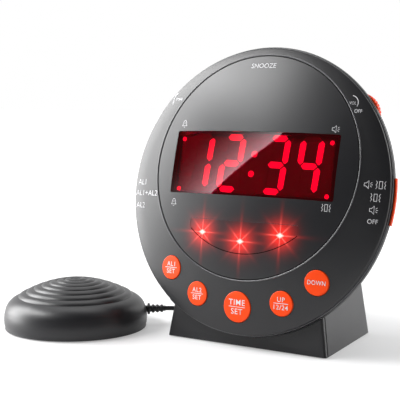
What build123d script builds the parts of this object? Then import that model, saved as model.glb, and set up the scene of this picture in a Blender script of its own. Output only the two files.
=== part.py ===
from build123d import *
from math import asin, cos, degrees, radians, sin, sqrt, tan
import os

# Bed shaker alarm clock: a round clock on a hollow stand, with a round shaker on a lead.
# All lengths are in millimetres. X is to the right of the clock, Y to its back, Z up.
# The origin is on the table, in the middle of the stand's underside.

os.makedirs("parts", exist_ok=True)

# Front disc: its outer edge circle, its lean and the rise of its domed face
disc_radius = 75.0
disc_lean = 12.6
disc_foot_y = -38.211
disc_foot_z = 6.986
dome_rise = 9.0

# Case: walls, depths behind the edge circle, and the seam round the rim
wall = 2.2
cover_edge_inset = 0.8
cover_edge_round = 0.7
cover_depth = 1.4
seam_gap = 0.6
rim_depth = 4.2
case_depth = 50.0
back_radius_inset = 29.0
back_round = 6.0
bowl_mid_depth = 28.0
bowl_mid_inset = 12.4
tongue_thick = 1.2
tongue_depth = 1.5
tongue_clearance = 0.15

# Stand: corners on the table, slants and the seam behind its front
stand_front_half = 46.9
stand_rear_half = 41.6
stand_depth = 64.1
stand_height = 52.0
stand_side_slant = 0.15
stand_front_slant = 0.105
stand_rear_slant = 0.06
stand_corner_round = 1.6
stand_strip = 2.0
stand_seam = 1.0
foot_stand = 0.6

# Face panel, display window and alert lens
panel_radius = 57.84
panel_top_margin = 5.59
panel_thick = 1.6
panel_ledge = 2.6
panel_clearance = 0.15
panel_edge_round = 0.35
window_width = 94.93
window_height = 33.25
window_offset = 0.59
window_corner = 1.0
lens_clearance = 0.1
lens_thick = 1.0
lens_flange = 1.4
lens_flange_thick = 0.7
alert_top_drop = 28.87
alert_half_width = 31.6
alert_arc_radius = 48.1
alert_low_drop = 45.27
alert_corner = 1.4

# Boards
board_thick = 1.6
display_board_depth = 8.0
main_board_depth = 12.4
main_board_inset = 8.5

# Buttons on the front
button_radius = 6.24
button_ring_inset = 13.87
button_outer_angle = 43.97
button_inner_angle = 23.67
time_button_radius = 7.78
time_button_inset = 14.73
button_proud = 0.5
button_clearance = 0.25

# Thumb wheels in the rim
wheel_radius = 12.0
wheel_thick = 3.4
wheel_tip_proud = 1.1
wheel_angle = 38.5
wheel_depth = 4.5
wheel_clearance = 0.5

# Slide knobs on the rim
mode_knob_angle = -1.4
mode_knob_span = 17.4
mode_travel_up = 5.1
mode_travel_down = 9.6
select_knob_angle = 184.6
select_knob_span = 11.0
select_travel = 4.8
knob_front_depth = 2.6
knob_back_depth = 6.0
knob_proud = 0.95
knob_clearance = 0.15

# Snooze bar on top of the case
snooze_half_width = 23.7
snooze_front_depth = 8.8
snooze_back_depth = 21.7
snooze_proud = 1.2
snooze_corner = 3.0
snooze_wall = 1.8
snooze_low_inset = 19.4
snooze_gap = 0.35

# Loudspeaker
speaker_rise = 14.0

# Back panel of the stand: sockets and battery door
socket_z = 13.0
shaker_socket_x = 8.0
power_socket_x = 24.0
dimmer_x = -24.0
door_half_width = 28.0
door_low = 22.5
door_high = 47.5
door_thick = 1.7
cell_radius = 5.15
cell_length = 44.5

# Shaker
shaker_x = -102.8
shaker_y = -40.4
shaker_radius = 39.5
shaker_height = 27.4
shaker_wall = 2.4
lead_angle = 39.6
lead_z = 9.0
ridge_pitch = 4.2
ridge_count = 7
ridge_height = 0.85

# Lead of the shaker
cord_diameter = 2.6
coil_gap = 0.62
coil_x = -30.6
coil_y = 63.0
coil_outer_radius = 21.3
coil_half_turns = 8
coil_layers = 4

overrun = 1.0

# Planes and axes that the pieces share, and places that follow the disc's edge
lean = radians(disc_lean)
disc_y = disc_foot_y + disc_radius * sin(lean)
disc_z = disc_foot_z + disc_radius * cos(lean)
back_radius = disc_radius - back_radius_inset
bowl_mid_radius = disc_radius - bowl_mid_inset
panel_rise = disc_radius - panel_radius - panel_top_margin
window_rise = panel_rise + window_offset
alert_top_y = panel_rise - alert_top_drop
alert_low_y = panel_rise - alert_low_drop
main_board_radius = disc_radius - main_board_inset
button_ring_radius = disc_radius - button_ring_inset
time_button_drop = disc_radius - time_button_inset
wheel_tip_radius = disc_radius + wheel_tip_proud
snooze_low_y = disc_radius - snooze_low_inset
disc = Plane(origin=(0, disc_y, disc_z), x_dir=(1, 0, 0), z_dir=(0, -cos(lean), sin(lean)))
meridian = Plane(origin=(0, disc_y, disc_z), x_dir=(1, 0, 0), z_dir=(0, -sin(lean), -cos(lean)))
disc_axis = Axis((0, disc_y, disc_z), (0, -cos(lean), sin(lean)))
dome_radius = (disc_radius**2 + dome_rise**2) / (2 * dome_rise)
cover_radius = disc_radius - cover_edge_inset
stand_front_y = -stand_depth / 2
stand_rear_y = stand_depth / 2
stand_plan_slant = (stand_front_half - stand_rear_half) / stand_depth
rear_lean = degrees(asin(stand_rear_slant))
rear_wall_plane = Plane(
    origin=(0, stand_rear_y, 0),
    x_dir=(-1, 0, 0),
    z_dir=(0, cos(radians(rear_lean)), sin(radians(rear_lean))),
)


def dome_height(radius, depth=0):
    """Height of the domed face above the edge circle, at a depth under its surface."""
    return sqrt((dome_radius - depth) ** 2 - radius**2) - (dome_radius - dome_rise)


def polar(radius, angle):
    """Point on the disc's plane."""
    return (radius * cos(radians(angle)), radius * sin(radians(angle)))


def ball(depth):
    """The sphere of the domed face, taken in by a depth."""
    with BuildPart() as solid:
        with Locations(disc.offset(dome_rise - dome_radius)):
            Sphere(dome_radius - depth)
    return solid.part


def bowl(inset, start):
    """Body of revolution behind the rim, taken in by an inset, from a depth to the back."""
    with BuildPart() as solid:
        with BuildSketch(meridian):
            with BuildLine():
                edge = disc_radius - inset
                back = -(case_depth - inset)
                Polyline((0, back), (0, -start), (edge, -start), (edge, -rim_depth))
                ThreePointArc(
                    (edge, -rim_depth),
                    (bowl_mid_radius - inset, -bowl_mid_depth),
                    (back_radius - inset, back),
                )
                Line((back_radius - inset, back), (0, back))
            make_face()
        revolve(axis=disc_axis)
        fillet(solid.edges().sort_by(disc_axis)[0:1], back_round - inset)
    return solid.part


def stand_front(z):
    """Y of the stand's front face."""
    return stand_front_y + stand_front_slant * z


def stand_rear(z):
    """Y of the stand's rear face."""
    return stand_rear_y - stand_rear_slant * z


def stand_half(y, z):
    """Half width of the stand between its slanted sides."""
    return stand_front_half - stand_plan_slant * (y - stand_front_y) - stand_side_slant * z


def stand_block(low, high, front, rear, grow):
    """Block between the stand's side planes, from a front to a rear face."""
    with BuildPart() as solid:
        for z in (low, high):
            with BuildSketch(Plane.XY.offset(z)):
                with BuildLine():
                    Polyline(
                        (-stand_half(front(z), z) - grow, front(z)),
                        (stand_half(front(z), z) + grow, front(z)),
                        (stand_half(rear(z), z) + grow, rear(z)),
                        (-stand_half(rear(z), z) - grow, rear(z)),
                        close=True,
                    )
                make_face()
        loft(ruled=True)
    return solid.part


def seam_front(z):
    """Y of the seam's front side, behind the stand's front face."""
    return stand_front(z) + stand_strip


def seam_rear(z):
    """Y of the seam's rear side."""
    return seam_front(z) + stand_seam


# Shared solids of the case
dome_ball = ball(0)
bowl_outer = bowl(0, cover_depth + seam_gap)
bowl_inner = bowl(wall, -overrun)
case_behind = disc.offset(-cover_depth - seam_gap)

with BuildPart() as stand_outer:
    add(stand_block(foot_stand, stand_height, stand_front, stand_rear, 0))
    upright = stand_outer.edges().filter_by(lambda edge: edge.length > stand_height / 2)
    upright = upright.filter_by(lambda edge: abs(edge.tangent_at(0).Z) > 1 / 2)
    top_rear = stand_outer.faces().sort_by(Axis.Z)[-1].edges().sort_by(Axis.Y)[-1]
    fillet(upright + [top_rear], stand_corner_round)

stand_inner = stand_block(
    -overrun,
    stand_height - wall,
    lambda z: stand_front(z) + wall,
    lambda z: stand_rear(z) - wall,
    -wall,
)


# Posts that clamp the main board between the covers, with the case screws in them
post_ring_radius = disc_radius - 11.0
post_angles = (20.0, 160.0, -25.0, -155.0)
post_radius = 3.2
case_screw_radius = 1.45
case_screw_hole = 1.7
case_screw_pilot = 1.5
case_screw_head = 2.7
case_screw_head_high = 1.8
case_screw_seat = 17.5
case_screw_tip = 4.0
cover_skin = 0.8
post_places = [polar(post_ring_radius, angle) for angle in post_angles]

# Posts that hold the two front boards
panel_post_places = [(-51.5, 5.0), (51.5, 5.0), (-38.0, -24.0), (38.0, -24.0)]
button_post_places = [(-52.0, -33.0), (52.0, -33.0), (-29.1, -43.1), (29.1, -43.1)]
small_post_radius = 2.2
board_screw_radius = 0.95
board_screw_pilot = 1.0
board_screw_hole = 1.2
board_screw_head = 1.9
board_screw_head_high = 1.2
board_screw_bite = 4.5

# Places of the buttons on the disc
button_angles = {
    "al1": -90 - button_outer_angle,
    "al2": -90 - button_inner_angle,
    "up": -90 + button_inner_angle,
    "down": -90 + button_outer_angle,
}
button_places = {name: polar(button_ring_radius, angle) for name, angle in button_angles.items()}
button_places["time"] = (0, -time_button_drop)
button_sizes = {name: button_radius for name in button_angles}
button_sizes["time"] = time_button_radius
collar_wall = 1.6
collar_end = 1.6
flange_reach = 1.2
flange_thick = 1.0
flange_gap = 0.15
stem_radius = 1.75
stem_well_radius = 1.9
stem_entry = 0.4
switch_size = 6.0
switch_high = 3.5
switch_well = 1.6

# Stand's front part of the front cover
neck_clearance = 0.3
neck_top = 30.0
neck_reach = 30.0
neck_front = stand_block(0, neck_top, lambda z: stand_front(z) - neck_reach, seam_front, 0)
neck_rear = stand_block(
    -overrun,
    neck_top,
    lambda z: stand_front(z) - neck_reach,
    seam_rear,
    neck_clearance,
)
stand_ribs_in = wall + tongue_clearance
stand_rib_depth = 4.0
rib_low = 5.0
rib_top = 24.0


def rib_rear(z):
    """Y where the ribs behind the stand's seam end."""
    return seam_rear(z) + stand_rib_depth


rib_outer = stand_block(rib_low, rib_top, lambda z: stand_front(z) + wall / 2, rib_rear, -stand_ribs_in)
rib_inner = stand_block(
    -overrun,
    rib_top + overrun,
    lambda z: stand_front(z),
    lambda z: rib_rear(z) + overrun,
    -stand_ribs_in - tongue_thick,
)

with BuildPart() as neck:
    add(bowl(0, cover_depth))
    add(neck_front, mode=Mode.INTERSECT)

with BuildPart() as stand_plate:
    add(stand_outer.part)
    add(neck_front, mode=Mode.INTERSECT)

with BuildPart() as stand_ribs:
    add(rib_outer)
    add(rib_inner, mode=Mode.SUBTRACT)

with BuildPart() as front_posts:
    with BuildSketch(disc.offset(-main_board_depth)):
        with Locations(*post_places):
            Circle(post_radius)
    extrude(amount=main_board_depth + dome_rise)
    with BuildSketch(disc.offset(-display_board_depth)):
        with Locations(*button_post_places):
            Circle(small_post_radius)
    extrude(amount=display_board_depth + dome_rise)
    with BuildSketch(disc.offset(-collar_end)):
        for name, place in button_places.items():
            with Locations(place):
                Circle(button_sizes[name] + collar_wall)
    extrude(amount=collar_end + dome_rise)
    add(ball(cover_skin), mode=Mode.INTERSECT)

panel_floor = ball(panel_thick)

with BuildPart() as panel_seat:
    with BuildSketch(disc.offset(-overrun)):
        with Locations((0, panel_rise)):
            Circle(panel_radius + panel_clearance)
    extrude(amount=dome_rise + 2 * overrun)
    add(panel_floor, mode=Mode.SUBTRACT)

# Front cover: domed ring, rim, neck and the stand's front
with BuildPart() as front_cover:
    with BuildSketch(meridian):
        with BuildLine():
            top = dome_height(cover_radius)
            Polyline((0, dome_rise), (0, -cover_depth), (cover_radius, -cover_depth), (cover_radius, top))
            ThreePointArc(
                (cover_radius, top),
                (cover_radius / 2, dome_height(cover_radius / 2)),
                (0, dome_rise),
            )
        make_face()
    revolve(axis=disc_axis)
    rims = front_cover.edges().filter_by(lambda edge: edge.is_closed)
    fillet(rims.sort_by(disc_axis)[-1], cover_edge_round)
    add(neck.part)
    add(stand_plate.part)
    with BuildSketch(meridian):
        with BuildLine():
            inside = cover_radius - wall
            Polyline(
                (0, dome_height(0, wall)),
                (0, -case_depth),
                (disc_radius - wall, -case_depth),
                (disc_radius - wall, -cover_depth),
                (inside, -cover_depth),
                (inside, dome_height(inside, wall)),
            )
            ThreePointArc(
                (inside, dome_height(inside, wall)),
                (inside / 2, dome_height(inside / 2, wall)),
                (0, dome_height(0, wall)),
            )
        make_face()
    revolve(axis=disc_axis, mode=Mode.SUBTRACT)
    add(stand_ribs.part)
    with BuildSketch(disc.offset(-cover_depth - tongue_depth)):
        Circle(disc_radius - wall - tongue_clearance)
        Circle(disc_radius - wall - tongue_clearance - tongue_thick, mode=Mode.SUBTRACT)
    extrude(amount=cover_depth + tongue_depth)
    add(front_posts.part)
    add(panel_seat.part, mode=Mode.SUBTRACT)
    with BuildSketch(disc.offset(-overrun)):
        with Locations((0, panel_rise)):
            Circle(panel_radius - panel_ledge)
    extrude(amount=dome_rise + 2 * overrun, mode=Mode.SUBTRACT)
    with BuildSketch(disc.offset(-main_board_depth)):
        with Locations(*post_places):
            Circle(case_screw_pilot)
    extrude(amount=main_board_depth - case_screw_tip + overrun, mode=Mode.SUBTRACT)
    with BuildSketch(disc.offset(-display_board_depth)):
        with Locations(*button_post_places):
            Circle(board_screw_pilot)
    extrude(amount=board_screw_bite + overrun, mode=Mode.SUBTRACT)
    with BuildSketch(disc.offset(-display_board_depth)):
        for name, place in button_places.items():
            with Locations(place):
                Circle(button_sizes[name] + button_clearance)
    extrude(amount=display_board_depth + dome_rise, mode=Mode.SUBTRACT)

front_cover.part.label = "front_cover"
export_step(front_cover.part, "parts/front_cover.step")



# Face panel inside the ring, with the openings of the window and the alert lens
def window_outline(grow):
    """Rounded outline of the display window."""
    with Locations((0, window_rise)):
        RectangleRounded(
            window_width + 2 * grow,
            window_height + 2 * grow,
            window_corner + max(grow, 0),
        )


with BuildSketch() as alert_outline:
    with BuildLine():
        low_half = sqrt(alert_arc_radius**2 - alert_half_width**2)
        end_y = alert_low_y + alert_arc_radius - low_half
        Polyline(
            (-alert_half_width, end_y),
            (-alert_half_width, alert_top_y),
            (alert_half_width, alert_top_y),
            (alert_half_width, end_y),
        )
        ThreePointArc((alert_half_width, end_y), (0, alert_low_y), (-alert_half_width, end_y))
    make_face()
    fillet(alert_outline.vertices(), alert_corner)

with BuildPart() as panel_posts:
    with BuildSketch(disc.offset(-display_board_depth)):
        with Locations(*panel_post_places):
            Circle(small_post_radius)
    extrude(amount=display_board_depth + dome_rise)
    add(ball(panel_thick / 2), mode=Mode.INTERSECT)

with BuildPart() as face_panel:
    with BuildSketch(disc):
        with Locations((0, panel_rise)):
            Circle(panel_radius)
    extrude(amount=dome_rise + overrun)
    add(dome_ball, mode=Mode.INTERSECT)
    panel_rim = face_panel.edges().filter_by(lambda edge: edge.is_closed)
    fillet(panel_rim.sort_by(SortBy.LENGTH)[-2:].sort_by(disc_axis)[-1], panel_edge_round)
    add(panel_floor, mode=Mode.SUBTRACT)
    with BuildSketch(disc):
        window_outline(0)
        add(alert_outline.sketch)
    extrude(amount=dome_rise + overrun, mode=Mode.SUBTRACT)
    add(panel_posts.part)
    with BuildSketch(disc.offset(-display_board_depth)):
        with Locations(*panel_post_places):
            Circle(board_screw_pilot)
    extrude(amount=board_screw_bite, mode=Mode.SUBTRACT)

face_panel.part.label = "face_panel"
export_step(face_panel.part, "parts/face_panel.step")


def alert_shape(grow):
    """Outline of the alert lens, grown or taken in."""
    with BuildSketch() as shape:
        add(alert_outline.sketch)
        offset(amount=grow)
    return shape.sketch


def window_shape(grow):
    """Outline of the display window, grown or taken in."""
    with BuildSketch() as shape:
        window_outline(grow)
    return shape.sketch


def lens(shape):
    """Curved lens that fills its opening, with a flange behind the panel."""
    with BuildPart() as flange:
        with BuildSketch(disc):
            add(shape(lens_flange))
        extrude(amount=dome_rise)
        add(lens_seat, mode=Mode.INTERSECT)
    with BuildPart() as hollow:
        with BuildSketch(disc):
            add(shape(-lens_flange))
        extrude(amount=dome_rise)
        add(lens_inside, mode=Mode.INTERSECT)
    with BuildPart() as solid:
        with BuildSketch(disc):
            add(shape(-lens_clearance))
        extrude(amount=dome_rise + overrun)
        add(lens_face, mode=Mode.INTERSECT)
        add(flange.part)
        add(lens_behind, mode=Mode.SUBTRACT)
        add(hollow.part, mode=Mode.SUBTRACT)
    return solid.part


# Display window and alert lens
lens_face = ball(lens_clearance)
lens_inside = ball(lens_clearance + lens_thick)
lens_seat = ball(panel_thick + lens_clearance)
lens_behind = ball(panel_thick + lens_clearance + lens_flange_thick)

with BuildPart() as display_window:
    add(lens(window_shape))

display_window.part.label = "display_window"
export_step(display_window.part, "parts/display_window.step")

with BuildPart() as alert_lens:
    add(lens(alert_shape))

alert_lens.part.label = "alert_lens"
export_step(alert_lens.part, "parts/alert_lens.step")

# Four-digit display: the block, its lit segments and its dark ones
module_half_width = 44.6
module_low = -3.0
module_high = 26.4
module_face = 3.2
digit_centers_x = (-32.1, -13.4, 12.5, 31.2)
digit_center_y = 12.7
digit_half_height = 15.2
digit_half_width = 6.7
digit_slant = 4.5
bar_width = 3.3
bar_gap = 0.3
bar_deep = 1.1
bar_proud = 0.1
bar_clearance = 0.05
colon_x = -0.5
colon_radius = 1.6
colon_half_space = 5.1
corner_dot_radius = 1.15
corner_dot_half_width = 43.2
corner_dot_low = -1.9
corner_dot_high = 24.7
lit_bars = ("bc", "abged", "abgcd", "fgbc")


def bar_points(name):
    """Centre, direction and half length of one bar of a digit, on the upright digit."""
    side = digit_half_width - bar_width / 2
    top = digit_half_height - bar_width / 2
    across = side - bar_gap
    along = top / 2 - bar_gap
    return {
        "a": ((0, top), 0, across),
        "b": ((side, top / 2), 90, along),
        "c": ((side, -top / 2), 90, along),
        "d": ((0, -top), 0, across),
        "e": ((-side, -top / 2), 90, along),
        "f": ((-side, top / 2), 90, along),
        "g": ((0, 0), 0, across),
    }[name]


def slanted(x, y, center_x):
    """Point of a digit, leaned to the right."""
    return (center_x + x + y * tan(radians(digit_slant)), digit_center_y + y)


def bar_outline(name, center_x, grow):
    """Pointed bar of a digit as a polygon."""
    (x, y), angle, half = bar_points(name)
    wide = bar_width / 2 + grow
    half = half + grow
    long = half - wide
    local = [(-half, 0), (-long, wide), (long, wide), (half, 0), (long, -wide), (-long, -wide)]
    turn = radians(angle)
    placed = [(x + u * cos(turn) - v * sin(turn), y + u * sin(turn) + v * cos(turn)) for u, v in local]
    return [slanted(u, v, center_x) for u, v in placed]


def digit_bars(lit, grow):
    """All lit or all dark bars of the display."""
    with BuildSketch() as bars:
        for center_x, names in zip(digit_centers_x, lit_bars):
            for name in "abcdefg":
                if (name in names) == lit:
                    with BuildLine():
                        Polyline(*bar_outline(name, center_x, grow), close=True)
                    make_face()
    return bars.sketch


def display_dots(grow):
    """Colon and corner dots of the display."""
    with BuildSketch() as dots:
        with Locations(
            slanted(0, colon_half_space, colon_x),
            slanted(0, -colon_half_space, colon_x),
        ):
            Circle(colon_radius + grow)
        with Locations(
            (colon_x - corner_dot_half_width, corner_dot_low),
            (colon_x - corner_dot_half_width, corner_dot_high),
            (colon_x + corner_dot_half_width, corner_dot_low),
            (colon_x + corner_dot_half_width, corner_dot_high),
        ):
            Circle(corner_dot_radius + grow)
    return dots.sketch


module_middle_y = (module_low + module_high) / 2
module_high_side = module_high - module_low
with BuildPart() as display_module:
    with BuildSketch(disc.offset(-display_board_depth)):
        with Locations((0, module_middle_y)):
            Rectangle(2 * module_half_width, module_high_side)
    extrude(amount=display_board_depth + module_face)
    with BuildSketch(disc.offset(module_face)):
        add(digit_bars(True, bar_clearance))
        add(digit_bars(False, bar_clearance))
        add(display_dots(bar_clearance))
    extrude(amount=-bar_deep, mode=Mode.SUBTRACT)

display_module.part.label = "display_module"
export_step(display_module.part, "parts/display_module.step")

with BuildPart() as segments_lit:
    with BuildSketch(disc.offset(module_face - bar_deep)):
        add(digit_bars(True, 0))
        add(display_dots(0))
    extrude(amount=bar_deep + bar_proud)

segments_lit.part.label = "segments_lit"
export_step(segments_lit.part, "parts/segments_lit.step")

with BuildPart() as segments_dark:
    with BuildSketch(disc.offset(module_face - bar_deep)):
        add(digit_bars(False, 0))
    extrude(amount=bar_deep + bar_proud)

segments_dark.part.label = "segments_dark"
export_step(segments_dark.part, "parts/segments_dark.step")

# Alert lights: three round lamps on the display board behind the lens
alert_places = [(-22.5, -23.6), (0, -27.5), (22.5, -23.6)]
lamp_radius = 2.5
lamp_flange_radius = 2.9
lamp_flange_thick = 1.0
lamp_top = 4.2

with BuildPart() as alert_lamps:
    with BuildSketch(disc.offset(-display_board_depth)):
        with Locations(*alert_places):
            Circle(lamp_flange_radius)
    extrude(amount=lamp_flange_thick)
    with BuildSketch(disc.offset(-display_board_depth)):
        with Locations(*alert_places):
            Circle(lamp_radius)
    extrude(amount=display_board_depth + lamp_top - lamp_radius)
    with Locations(disc.offset(lamp_top - lamp_radius)):
        with Locations(*alert_places):
            Sphere(lamp_radius)

alert_lamps.part.label = "alert_lamps"
export_step(alert_lamps.part, "parts/alert_lamps.step")

# Display board with ears under the slide switches
board_outline = [
    (34.0, 33.0),
    (54.0, 22.0),
    (54.0, 10.0),
    (67.5, 10.0),
    (67.5, -18.0),
    (54.0, -18.0),
    (54.0, -23.0),
    (42.0, -23.0),
    (40.0, -26.2),
    (30.0, -35.0),
    (0, -35.0),
]
board_top_left = (-34.0, 33.0)

with BuildPart() as display_board:
    with BuildSketch(disc.offset(-display_board_depth - board_thick)):
        with BuildLine():
            Polyline(*board_outline)
            mirror(about=Plane.YZ)
            Line(board_outline[0], board_top_left)
        make_face()
        with Locations(*panel_post_places):
            Circle(board_screw_hole, mode=Mode.SUBTRACT)
    extrude(amount=board_thick)

display_board.part.label = "display_board"
export_step(display_board.part, "parts/display_board.step")

# Buttons, each with its flange under the collar and its stem in the switch's well
flange_top = collar_end + flange_gap
flange_bottom = flange_top + flange_thick
switch_top = display_board_depth - switch_high
button_edge_round = 0.4
button_face = ball(-button_proud)


def button(place, radius):
    """Domed push button at a place on the disc."""
    with BuildPart() as solid:
        with BuildSketch(disc.offset(-flange_bottom)):
            with Locations(place):
                Circle(radius)
        extrude(amount=flange_bottom + dome_rise)
        add(button_face, mode=Mode.INTERSECT)
        fillet(solid.edges().sort_by(disc_axis)[-1], button_edge_round)
        with BuildSketch(disc.offset(-flange_bottom)):
            with Locations(place):
                Circle(radius + flange_reach)
        extrude(amount=flange_thick)
        with BuildSketch(disc.offset(-switch_top - stem_entry)):
            with Locations(place):
                Circle(stem_radius)
        extrude(amount=switch_top + stem_entry - flange_bottom)
    return solid.part


for button_name, button_place in button_places.items():
    with BuildPart() as button_part:
        add(button(button_place, button_sizes[button_name]))
    button_part.part.label = "button_" + button_name
    export_step(button_part.part, "parts/button_" + button_name + ".step")

# Crescent board under the buttons, with one push switch for each
crescent_inner = 48.5
crescent_outer = 66.0
crescent_end_angle = -29.4

with BuildPart() as button_board:
    with BuildSketch(disc.offset(-display_board_depth - board_thick)):
        with BuildLine():
            right_inner = polar(crescent_inner, crescent_end_angle)
            right_outer = polar(crescent_outer, crescent_end_angle)
            ThreePointArc(right_outer, (0, -crescent_outer), (-right_outer[0], right_outer[1]))
            Line((-right_outer[0], right_outer[1]), (-right_inner[0], right_inner[1]))
            ThreePointArc((-right_inner[0], right_inner[1]), (0, -crescent_inner), right_inner)
            Line(right_inner, right_outer)
        make_face()
        with Locations(*button_post_places):
            Circle(board_screw_hole, mode=Mode.SUBTRACT)
    extrude(amount=board_thick)

button_board.part.label = "button_board"
export_step(button_board.part, "parts/button_board.step")

with BuildPart() as push_switches:
    with BuildSketch(disc.offset(-display_board_depth)):
        with Locations(*button_places.values()):
            Rectangle(switch_size, switch_size)
    extrude(amount=switch_high)
    with BuildSketch(disc.offset(-switch_top)):
        with Locations(*button_places.values()):
            Circle(stem_well_radius)
    extrude(amount=-switch_well, mode=Mode.SUBTRACT)

push_switches.part.label = "push_switches"
export_step(push_switches.part, "parts/push_switches.step")

# Screws of the two front boards
with BuildPart() as board_screws:
    screw_places = panel_post_places + button_post_places
    back = display_board_depth + board_thick
    with BuildSketch(disc.offset(-back)):
        with Locations(*screw_places):
            Circle(board_screw_head)
    extrude(amount=-board_screw_head_high)
    with BuildSketch(disc.offset(-back)):
        with Locations(*screw_places):
            Circle(board_screw_radius)
    extrude(amount=board_thick + board_screw_bite - board_screw_radius)

board_screws.part.label = "board_screws"
export_step(board_screws.part, "parts/board_screws.step")

# Main board, clamped between the posts of the two covers
main_board_low = -46.0
snooze_notch_half = 28.0
snooze_notch_low = 50.0
main_back = main_board_depth + board_thick

with BuildPart() as main_board:
    with BuildSketch(disc.offset(-main_back)):
        Circle(main_board_radius)
        with Locations((0, main_board_low - main_board_radius)):
            Rectangle(2 * main_board_radius, 2 * main_board_radius, mode=Mode.SUBTRACT)
        with Locations((0, snooze_notch_low + main_board_radius)):
            Rectangle(2 * snooze_notch_half, 2 * main_board_radius, mode=Mode.SUBTRACT)
        with Locations(*post_places):
            Circle(case_screw_hole, mode=Mode.SUBTRACT)
    extrude(amount=board_thick)

main_board.part.label = "main_board"
export_step(main_board.part, "parts/main_board.step")

# Pin headers between the display board and the main board
header_places = [(0, -31.0), (0, 29.0)]
header_length = 30.0
header_wide = 2.5

with BuildPart() as board_headers:
    with BuildSketch(disc.offset(-main_board_depth)):
        with Locations(*header_places):
            Rectangle(header_length, header_wide)
    extrude(amount=main_board_depth - display_board_depth - board_thick)

board_headers.part.label = "board_headers"
export_step(board_headers.part, "parts/board_headers.step")

# Chips and capacitors on the back of the main board
chips = {(-14.0, -8.0): (12.0, 9.0), (16.0, -10.0): (9.0, 9.0), (-34.0, 6.0): (8.0, 6.0)}
chip_high = 1.5
capacitor_places = [(38.0, -12.0), (38.0, -22.0), (-30.0, -24.0)]
capacitor_radius = 3.5
capacitor_high = 8.0

with BuildPart() as controller_chips:
    with BuildSketch(disc.offset(-main_back)):
        for place, (long, wide) in chips.items():
            with Locations(place):
                Rectangle(long, wide)
    extrude(amount=-chip_high)

controller_chips.part.label = "controller_chips"
export_step(controller_chips.part, "parts/controller_chips.step")

with BuildPart() as capacitors:
    with BuildSketch(disc.offset(-main_back)):
        with Locations(*capacitor_places):
            Circle(capacitor_radius)
    extrude(amount=-capacitor_high)

capacitors.part.label = "capacitors"
export_step(capacitors.part, "parts/capacitors.step")

# Thumb wheels for volume and tone, with the controls that they turn
wheel_ring = wheel_tip_radius - wheel_radius
wheel_shaft_radius = 2.0
wheel_shaft_gap = 0.06
wheel_shaft_long = 3.0
wheel_notches = 40
wheel_notch_radius = 0.45
wheel_edge_round = 0.35
control_size = 7.6
control_gap = 0.4
wheel_back = wheel_depth + wheel_thick


def thumb_wheel(angle):
    """Notched wheel whose rim stands out of the case."""
    place = polar(wheel_ring, angle)
    with BuildPart() as solid:
        with BuildSketch(disc.offset(-wheel_back)):
            with Locations(place):
                Circle(wheel_radius)
        extrude(amount=wheel_thick)
        fillet(solid.edges().filter_by(GeomType.CIRCLE), wheel_edge_round)
        with BuildSketch(disc.offset(-wheel_back)):
            with Locations(place):
                with PolarLocations(wheel_radius, wheel_notches):
                    Circle(wheel_notch_radius)
        extrude(amount=wheel_thick, mode=Mode.SUBTRACT)
        with BuildSketch(disc.offset(-wheel_back - wheel_shaft_long)):
            with Locations(place):
                Circle(wheel_shaft_radius)
        extrude(amount=wheel_shaft_long)
    return solid.part


def wheel_control(angle):
    """Rotary control on the main board with a well for the wheel's shaft."""
    place = polar(wheel_ring, angle)
    with BuildPart() as solid:
        with BuildSketch(disc.offset(-main_board_depth)):
            with Locations(place):
                Rectangle(control_size, control_size)
        extrude(amount=main_board_depth - wheel_back - control_gap)
        with BuildSketch(disc.offset(-wheel_back - wheel_shaft_long - control_gap)):
            with Locations(place):
                Circle(wheel_shaft_radius + wheel_shaft_gap)
        extrude(amount=wheel_shaft_long + control_gap, mode=Mode.SUBTRACT)
    return solid.part


with BuildPart() as volume_wheel:
    add(thumb_wheel(wheel_angle))

volume_wheel.part.label = "volume_wheel"
export_step(volume_wheel.part, "parts/volume_wheel.step")

with BuildPart() as volume_control:
    add(wheel_control(wheel_angle))

volume_control.part.label = "volume_control"
export_step(volume_control.part, "parts/volume_control.step")

with BuildPart() as tone_wheel:
    add(thumb_wheel(180 - wheel_angle))

tone_wheel.part.label = "tone_wheel"
export_step(tone_wheel.part, "parts/tone_wheel.step")

with BuildPart() as tone_control:
    add(wheel_control(180 - wheel_angle))

tone_control.part.label = "tone_control"
export_step(tone_control.part, "parts/tone_control.step")


# Slide knobs that follow the rim, with the switches that they work
def bowl_radius(depth):
    """Radius of the case behind the rim at a depth, on the arc through its three points."""
    (x1, y1), (x2, y2), (x3, y3) = points = (
        (disc_radius, rim_depth),
        (bowl_mid_radius, bowl_mid_depth),
        (back_radius, case_depth),
    )
    twice = 2 * (x1 * (y2 - y3) + x2 * (y3 - y1) + x3 * (y1 - y2))
    squares = [x * x + y * y for x, y in points]
    middle_x = (squares[0] * (y2 - y3) + squares[1] * (y3 - y1) + squares[2] * (y1 - y2)) / twice
    middle_y = (squares[0] * (x3 - x2) + squares[1] * (x1 - x3) + squares[2] * (x2 - x1)) / twice
    reach = sqrt((x1 - middle_x) ** 2 + (y1 - middle_y) ** 2)
    return middle_x + sqrt(reach**2 - (depth - middle_y) ** 2)


def meridian_at(angle):
    """Plane through the disc's axis at an angle round it."""
    out = disc.x_dir * cos(radians(angle)) + disc.y_dir * sin(radians(angle))
    return Plane(origin=disc.origin, x_dir=out, z_dir=out.cross(disc.z_dir))


def arc_piece(points, middle, span):
    """Outline of radius and depth carried round the disc's axis."""
    with BuildPart() as solid:
        with BuildSketch(meridian_at(middle - span / 2)):
            with BuildLine():
                Polyline(*[(radius, -depth) for radius, depth in points], close=True)
            make_face()
        revolve(axis=disc_axis, revolution_arc=span)
    return solid.part


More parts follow.
